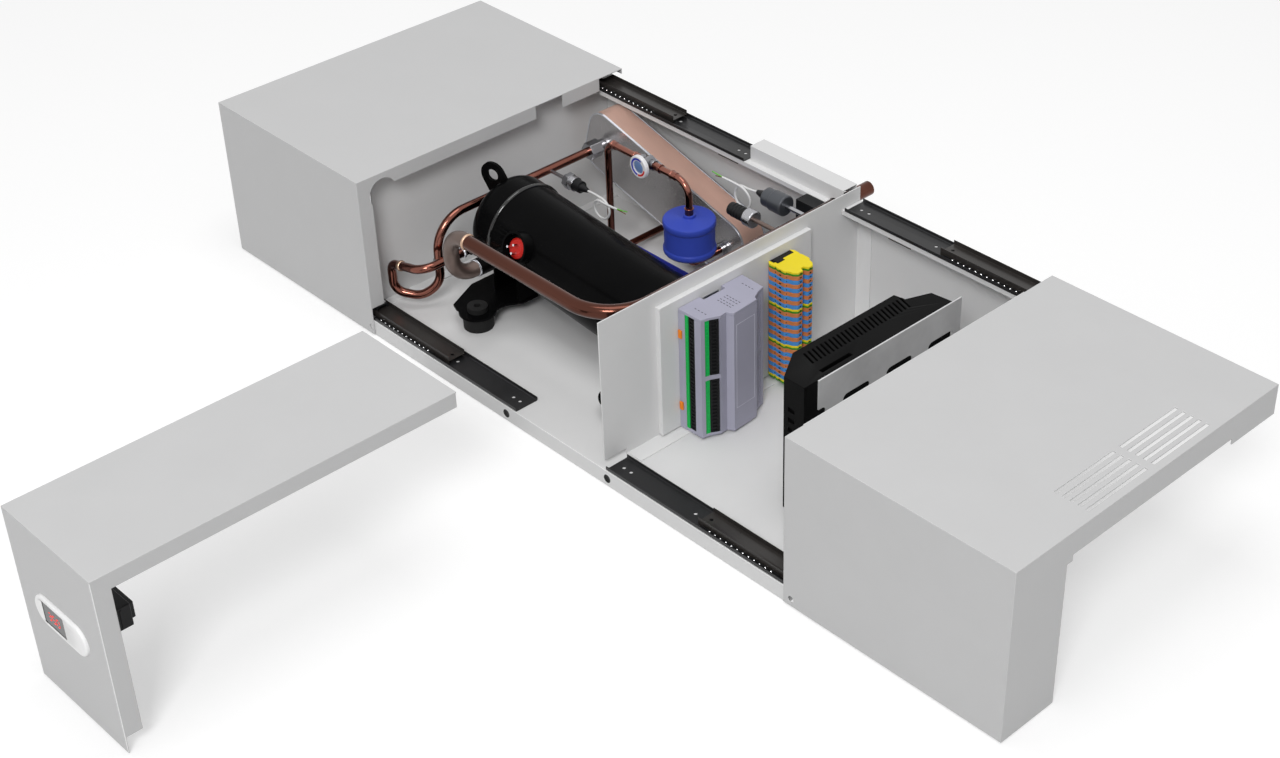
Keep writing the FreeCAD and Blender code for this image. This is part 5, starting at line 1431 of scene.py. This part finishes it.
@dataclass
class Electrical:
    """Controller, terminals, inverter and its heat sink."""

    back: float = 94.1
    controller_y: float = -48.5
    controller_z: Pair = (25.4, 197.4)
    strip_low: float = 29.6
    strip_high: float = 193.2
    terminal_y: float = 69.0
    terminal_low: float = 29.4
    pitch: float = 5.96
    count: int = 28
    half: float = 22.0
    deep: float = 44.7
    port_pitch: float = 5.08
    groove: tuple = ((0.0, -17.9), (7.5, -17.9), (7.5, 17.9), (0.0, 17.9))

    def build(self) -> None:
        """Housings, terminal strips, rail terminals and the heat sink."""
        for name, node, finish, width in (
                ("inverter_moulding", "inverter_housing", FINISH.inverter, 0.8),
                ("heat_sink_cut", "heat_sink_plate", FINISH.aluminium, 0.3),
                ("controller_hooks", "controller_latches", FINISH.orange, 0.3)):
            rounded(name, node, width, finish)
        self.housing()
        self.strips()
        self.controller_marks()
        self.terminals()

    def housing(self) -> None:
        """Controller housing: end plates, a waist bar and two lengths with sunk flanks.

        Each length is its plan carried straight up. The plans differ only at the
        flanks, where the plug-in strips are seated.
        """
        nose = [(45.5, -18.0), (54.0, -13.5), (51.5, 27.0)]
        plain = [(0.0, 53.0), (37.5, 52.0), (40.5, 40.0), (46.5, 28.5)]
        bar = [(0.0, 53.0), (10.7, 52.7), (10.7, 47.8), (26.8, 47.4), (26.8, 52.3), (37.5, 52.0),
               (40.5, 40.0), (46.5, 28.5)]
        sunk = [(0.0, 53.0), (10.7, 52.7), (10.7, 47.8), (26.8, 47.4), (26.8, 52.3), (37.5, 52.0),
                (38.7, 46.9), (35.4, 46.1), (37.1, 38.4), (42.1, 28.5), (46.6, 30.2), (46.5, 28.5)]
        low, high = self.controller_z
        middle = (low + high) / 2

        def ring(flank: Profile, z: float) -> Array:
            """Whole plan with this flank on both sides, at a height z."""
            flat = [(x, -y) for x, y in flank] + nose + flank[::-1] + list(self.groove[::-1])
            plan = np.array(flat) + np.array([self.back, self.controller_y])
            return np.column_stack([plan, np.full(len(flat), z)])

        for name, flank, z0, z1, nodes in (
                ("controller_end_low", plain, low, self.strip_low, ("controller_housing",)),
                ("controller_flank_low", sunk, self.strip_low, middle - 3.0, ()),
                ("controller_waist", bar, middle - 3.0, middle + 3.0, ()),
                ("controller_flank_high", sunk, middle + 3.0, self.strip_high, ()),
                ("controller_end_high", plain, self.strip_high, high, ())):
            made = Shapes.closed_grid(name, np.stack([ring(flank, z0), ring(flank, z1)]))
            if flank is plain:
                Shapes.soften(made, 0.6, 2, 40.0)
            settle(Shapes.smooth(made, 30.0), FINISH.controller, "chassis", *nodes)

    def plan(self, x: float, y: float, side: int) -> Array:
        """Plan point of the controller, x from its back and y out from its middle."""
        return np.array([self.back + x, self.controller_y + side * y])

    def strip(self, name: str, start: Array, end: Array, outward: Array, z0: float,
              z1: float, depth: float, ports: float, finish: Finish, *nodes: str) -> None:
        """Plug-in strip between two plan points, with a row of wire ports in its front.

        Args:
            name: Name of the new object.
            start: Plan point where the strip begins.
            end: Plan point where it ends.
            outward: Plan direction that it faces.
            z0: Its lower end.
            z1: Its upper end.
            depth: How far it reaches back.
            ports: Depth of its ports, or 0 for a plain front.
            finish: Its finish.
            nodes: Frame pieces that it stands for.
        """
        across = end - start
        width = float(np.linalg.norm(across))
        height = z1 - z0
        back = start - outward * depth
        rows = int(height / self.port_pitch)
        margin = (height - rows * self.port_pitch) / 2
        low = margin + self.port_pitch * np.arange(rows)
        left, right = 0.22 * width, 0.78 * width
        pockets = np.column_stack([np.full(rows, left), np.full(rows, right), low + 0.9, low + 4.2,
                                   np.full(rows, max(ports, 0.01))])
        across_way, outward_way = (*across, 0.0), (*(outward * depth), 0.0)
        if across[0] * outward[1] > across[1] * outward[0]:
            back, across_way = back + across, (*(-across), 0.0)
        made = Shapes.pocketed(name, (*back, z0), across_way, (0.0, 0.0, height), outward_way, pockets)
        settle(made, finish, "chassis", *nodes)

    def strips(self) -> None:
        """Green and black plug-in strips on both flanks."""
        middle = (self.strip_low + self.strip_high) / 2
        for side, flank in ((-1, "near"), (1, "far")):
            out = np.array([0.0, float(side)])
            for colour, finish, x0, x1, y, depth, ports, nodes in (
                    ("green", FINISH.green, 10.9, 15.6, 52.4, 3.6, 0.6, ("controller_connectors",)),
                    ("black", FINISH.black, 15.8, 26.6, 51.2, 2.6, 1.4, ())):
                self.strip(f"strip_outer_{colour}_{flank}", self.plan(x0, y, side),
                           self.plan(x1, y, side), out, self.strip_low, self.strip_high, depth,
                           ports, finish, *(nodes if side < 0 else ()))
            for part, z0, z1 in (("low", self.strip_low, middle - 3.2),
                                 ("high", middle + 3.2, self.strip_high)):
                for colour, finish, first, last, ports in (
                        ("green", FINISH.green, (38.3, 46.0), (39.7, 40.9), 0.6),
                        ("black", FINISH.black, (40.0, 40.0), (45.3, 30.3), 1.4)):
                    start, end = self.plan(*first, side), self.plan(*last, side)
                    along = end - start
                    normal = np.array([along[1], -along[0]]) / np.linalg.norm(along)
                    if normal[0] < 0:
                        normal = -normal
                    self.strip(f"strip_inner_{colour}_{part}_{flank}", start, end, normal, z0, z1,
                               2.4, ports, finish if side < 0 else FINISH.controller)

    def controller_marks(self) -> None:
        """Rows of slots in the controller's ends, and the raised line round its nose cover."""
        low, high = self.controller_z
        slots = []
        outer, inner = (14.0, 19.5, 25.0, 30.5), (20.0, 25.0, 30.0, 35.0, 40.0)
        for y, row in ((-39.0, outer), (39.0, outer), (-7.5, inner), (7.5, inner), (-3.0, inner),
                       (3.0, inner)):
            for x in row:
                place = self.plan(x, y, 1)
                for z in (high - 0.2, low - 0.05):
                    slots.append((place[0], place[1] - 0.45, z, place[0] + 3.0, place[1] + 0.45, z + 0.25))
        settle(Shapes.blocks("controller_slots", np.array(slots)), FINISH.black)
        z0, z1, rise = 58.0, 178.0, 0.25
        start, end = self.plan(54.0, -13.5, 1), self.plan(51.5, 27.0, 1)
        bars = []
        for share0, share1, low_z, tall in ((0.1, 0.115, z0, z1 - z0), (0.885, 0.9, z0, z1 - z0),
                                            (0.1, 0.9, z0 - 0.5, 0.5), (0.1, 0.9, z1, 0.5)):
            a, b = (start + (end - start) * share for share in (share0, share1))
            foot = np.array([(a[0] - 0.6, a[1], low_z), (a[0] + rise, a[1], low_z),
                             (b[0] + rise, b[1], low_z), (b[0] - 0.6, b[1], low_z)])
            bars.append([foot, foot + np.array([0.0, 0.0, tall])])
        made = Shapes.closed_grids("controller_nose_line", np.array(bars))
        settle(made, FINISH.pale)

    def terminal_plan(self) -> Array:
        """Plan of one rail terminal: foot, shoulders, two wire entries and the rail groove."""
        half, deep = self.half, self.deep
        right = [(0, half - 3), (4, half), (12, half), (13, half - 1), (16, half - 1), (17, half),
                 (30, half), (33, half - 3), (deep - 5, half - 5), (deep, half - 9.5), (deep, 5),
                 (deep - 6, 2.5)]
        plan = right + [(x, -y) for x, y in reversed(right)] + list(self.groove)
        return np.array(plan) + np.array([self.back, self.terminal_y])

    def terminals(self) -> None:
        """Stack of rail terminals in their colours, each with its dark wire entries."""
        top = self.terminal_low + self.count * self.pitch
        earth = [0, 9, 18, 27]
        orange, blue = ([start + first + step for start in earth[:-1] for step in range(0, 8, 2)]
                        for first in (1, 2))
        plan = self.terminal_plan()

        def slabs(layers: list[int], low: float, high: float) -> Profile:
            """Bottom and top of each layer, as shares of the pitch."""
            return [(top - (index + 1) * self.pitch + low * self.pitch,
                     top - (index + 1) * self.pitch + high * self.pitch) for index in layers]

        for name, layers, low, high, finish, node in (
                ("earth_terminals_yellow", earth, 0.50, 0.97, FINISH.earth, "earth_terminals"),
                ("earth_terminals_green", earth, 0.03, 0.50, FINISH.earth_green, None),
                ("orange_terminals_moulded", orange, 0.03, 0.97, FINISH.terminal_orange,
                 "orange_terminals"),
                ("blue_terminals_moulded", blue, 0.03, 0.97, FINISH.terminal_blue,
                 "blue_terminals")):
            made = Shapes.layers(name, plan, slabs(layers, low, high), 0.35)
            settle(made, finish, "chassis", *((node,) if node else ()))
        entries = []
        for index in range(self.count):
            z = top - (index + 0.5) * self.pitch
            for side in (-1, 1):
                for x, y, dx, dy in ((31.2, 19.8, 2.2, 0.8), (23.0, 22.0, 3.4, 0.1),
                                     (14.0, 21.0, 1.2, 0.1), (44.7, 8.4, 0.1, 2.6)):
                    px, py = self.back + x, self.terminal_y + side * y
                    entries.append((px - dx / 2 - (0.1 if dx < 0.5 else 0), py - dy / 2 - 0.05, z - 0.9,
                                    px + dx / 2, py + dy / 2 + 0.05, z + 0.9))
        stop = np.array([(self.back + 0.3, self.terminal_y - 17.6, top - 2.3, self.back + 7.2,
                          self.terminal_y + 17.6, top - 0.3),
                         (self.back + 1.5, self.terminal_y - 15.0, top - 0.6, self.back + 12.0,
                          self.terminal_y - 3.0, top + 0.6)])
        settle(Shapes.blocks("terminal_stop", stop), FINISH.black)
        settle(Shapes.blocks("terminal_entries", np.array(entries)), FINISH.black)


@dataclass
class Studio:
    """Camera, floor, world and lamps."""

    azimuth: float = 45.0
    elevation: float = 35.2644
    camera_place: Point = (1.652, -1.528 + MIDDLE * MM, 1.576)
    focal_px: float = 2140.76
    centre_px: Pair = (756.84, 387.13)
    frame_px: Pair = (1280.0, 758.0)
    film: float = 36.0
    lamps: tuple = (("Camera side lamp", (3.3, -4.1, 5.0), (0.0, 0.1, 0.1), 2.0, 268.0),
                    ("Top lamp", (0.1, 0.1, 3.6), (0.1, 0.2, 0.0), 1.8, 33.0))
    world_light: float = 0.38
    floor_colour: Colour = (0.60, 0.60, 0.60)
    floor_glow: float = 0.46

    def camera(self) -> None:
        """Camera at the fitted place, level and turned to the fitted angle."""
        data = bpy.data.cameras.new("Camera")
        camera = placed("Camera", data)
        data.sensor_width = self.film
        data.sensor_fit = "HORIZONTAL"
        data.lens = self.film * self.focal_px / self.frame_px[0]
        data.shift_x = (self.frame_px[0] / 2 - self.centre_px[0]) / self.frame_px[0]
        data.shift_y = (self.centre_px[1] - self.frame_px[1] / 2) / self.frame_px[0]
        data.clip_start = 0.05
        data.clip_end = 50.0
        turn = Matrix.Rotation(math.radians(self.azimuth), 4, "Z")
        tip = Matrix.Rotation(math.radians(90.0 - self.elevation), 4, "X")
        camera.matrix_world = Matrix.Translation(Vector(self.camera_place)) @ turn @ tip
        bpy.context.scene.camera = camera

    def world(self) -> None:
        """Even light all round, seen as white by the camera and by reflections."""
        world = bpy.data.worlds.new("Studio")
        bpy.context.scene.world = world
        world.use_nodes = True
        nodes = Nodes(world.node_tree)
        nodes.tree.nodes.clear()
        path = nodes.add("LightPath").outputs
        seen = nodes.maths("MAXIMUM", path["Is Camera Ray"], path["Is Glossy Ray"])
        lamp, white = (nodes.add("Background", {"Color": (1.0, 1.0, 1.0, 1.0), "Strength": strength})
                       for strength in (self.world_light, 1.0))
        mix = nodes.add("MixShader", {"Fac": nodes.maths("MAXIMUM", seen, path["Is Transmission Ray"]),
                                      1: lamp.outputs["Background"],
                                      2: white.outputs["Background"]})
        nodes.add("OutputWorld", {"Surface": mix.outputs["Shader"]})

    def floor(self) -> None:
        """Wide pale floor under the skirts that still takes the unit's shadow."""
        size, level = 30.0, -0.0006
        mesh = bpy.data.meshes.new("Floor")
        mesh.from_pydata([(-size, -size, level), (size, -size, level), (size, size, level),
                          (-size, size, level)], [], [(0, 1, 2, 3)])
        floor = placed("Floor", mesh)
        material = bpy.data.materials.new("Studio floor")
        material.use_nodes = True
        nodes = Nodes(material.node_tree)
        nodes.tree.nodes.clear()
        path = nodes.add("LightPath").outputs
        seen = nodes.maths("MAXIMUM", path["Is Camera Ray"], path["Is Glossy Ray"])
        glow = nodes.add("Emission", {"Strength": nodes.maths("MULTIPLY", seen, self.floor_glow)})
        matt = nodes.add("BsdfDiffuse", {"Color": (*self.floor_colour, 1.0)})
        both = nodes.add("AddShader", {0: matt.outputs["BSDF"], 1: glow.outputs["Emission"]})
        nodes.add("OutputMaterial", {"Surface": both.outputs["Shader"]})
        mesh.materials.append(material)

    def lamp(self, name: str, place: Point, target: Point, size: float, power: float) -> None:
        """Soft square lamp.

        Args:
            name: Name of the lamp.
            place: Where it is, in metres.
            target: Point that it is turned to.
            size: Its width in metres.
            power: Its power in watts.
        """
        data = bpy.data.lights.new(name, "AREA")
        data.shape = "SQUARE"
        data.size = size
        data.energy = power
        lamp = placed(name, data)
        lamp.location = place
        way = Vector(target) - Vector(place)
        lamp.rotation_euler = way.to_track_quat("-Z", "Y").to_euler()

    def build(self) -> None:
        """Camera, world, floor and two lamps, under the Standard view."""
        bpy.context.scene.view_settings.view_transform = "Standard"
        self.camera()
        self.world()
        self.floor()
        for lamp in self.lamps:
            self.lamp(*lamp)


def main() -> None:
    """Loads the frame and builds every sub-assembly."""
    logging.basicConfig(level=logging.INFO, format="%(message)s")
    FRAME.update(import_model())
    studio = Studio()
    studio.build()
    for group in (Sensors(), Chassis(), Slides(), Covers(), Compressor(), Refrigerant(),
                  HeatExchanger(), Electrical()):
        group.build()
        log.info("%s built", type(group).__name__)


if __name__ == "__main__":
    main()
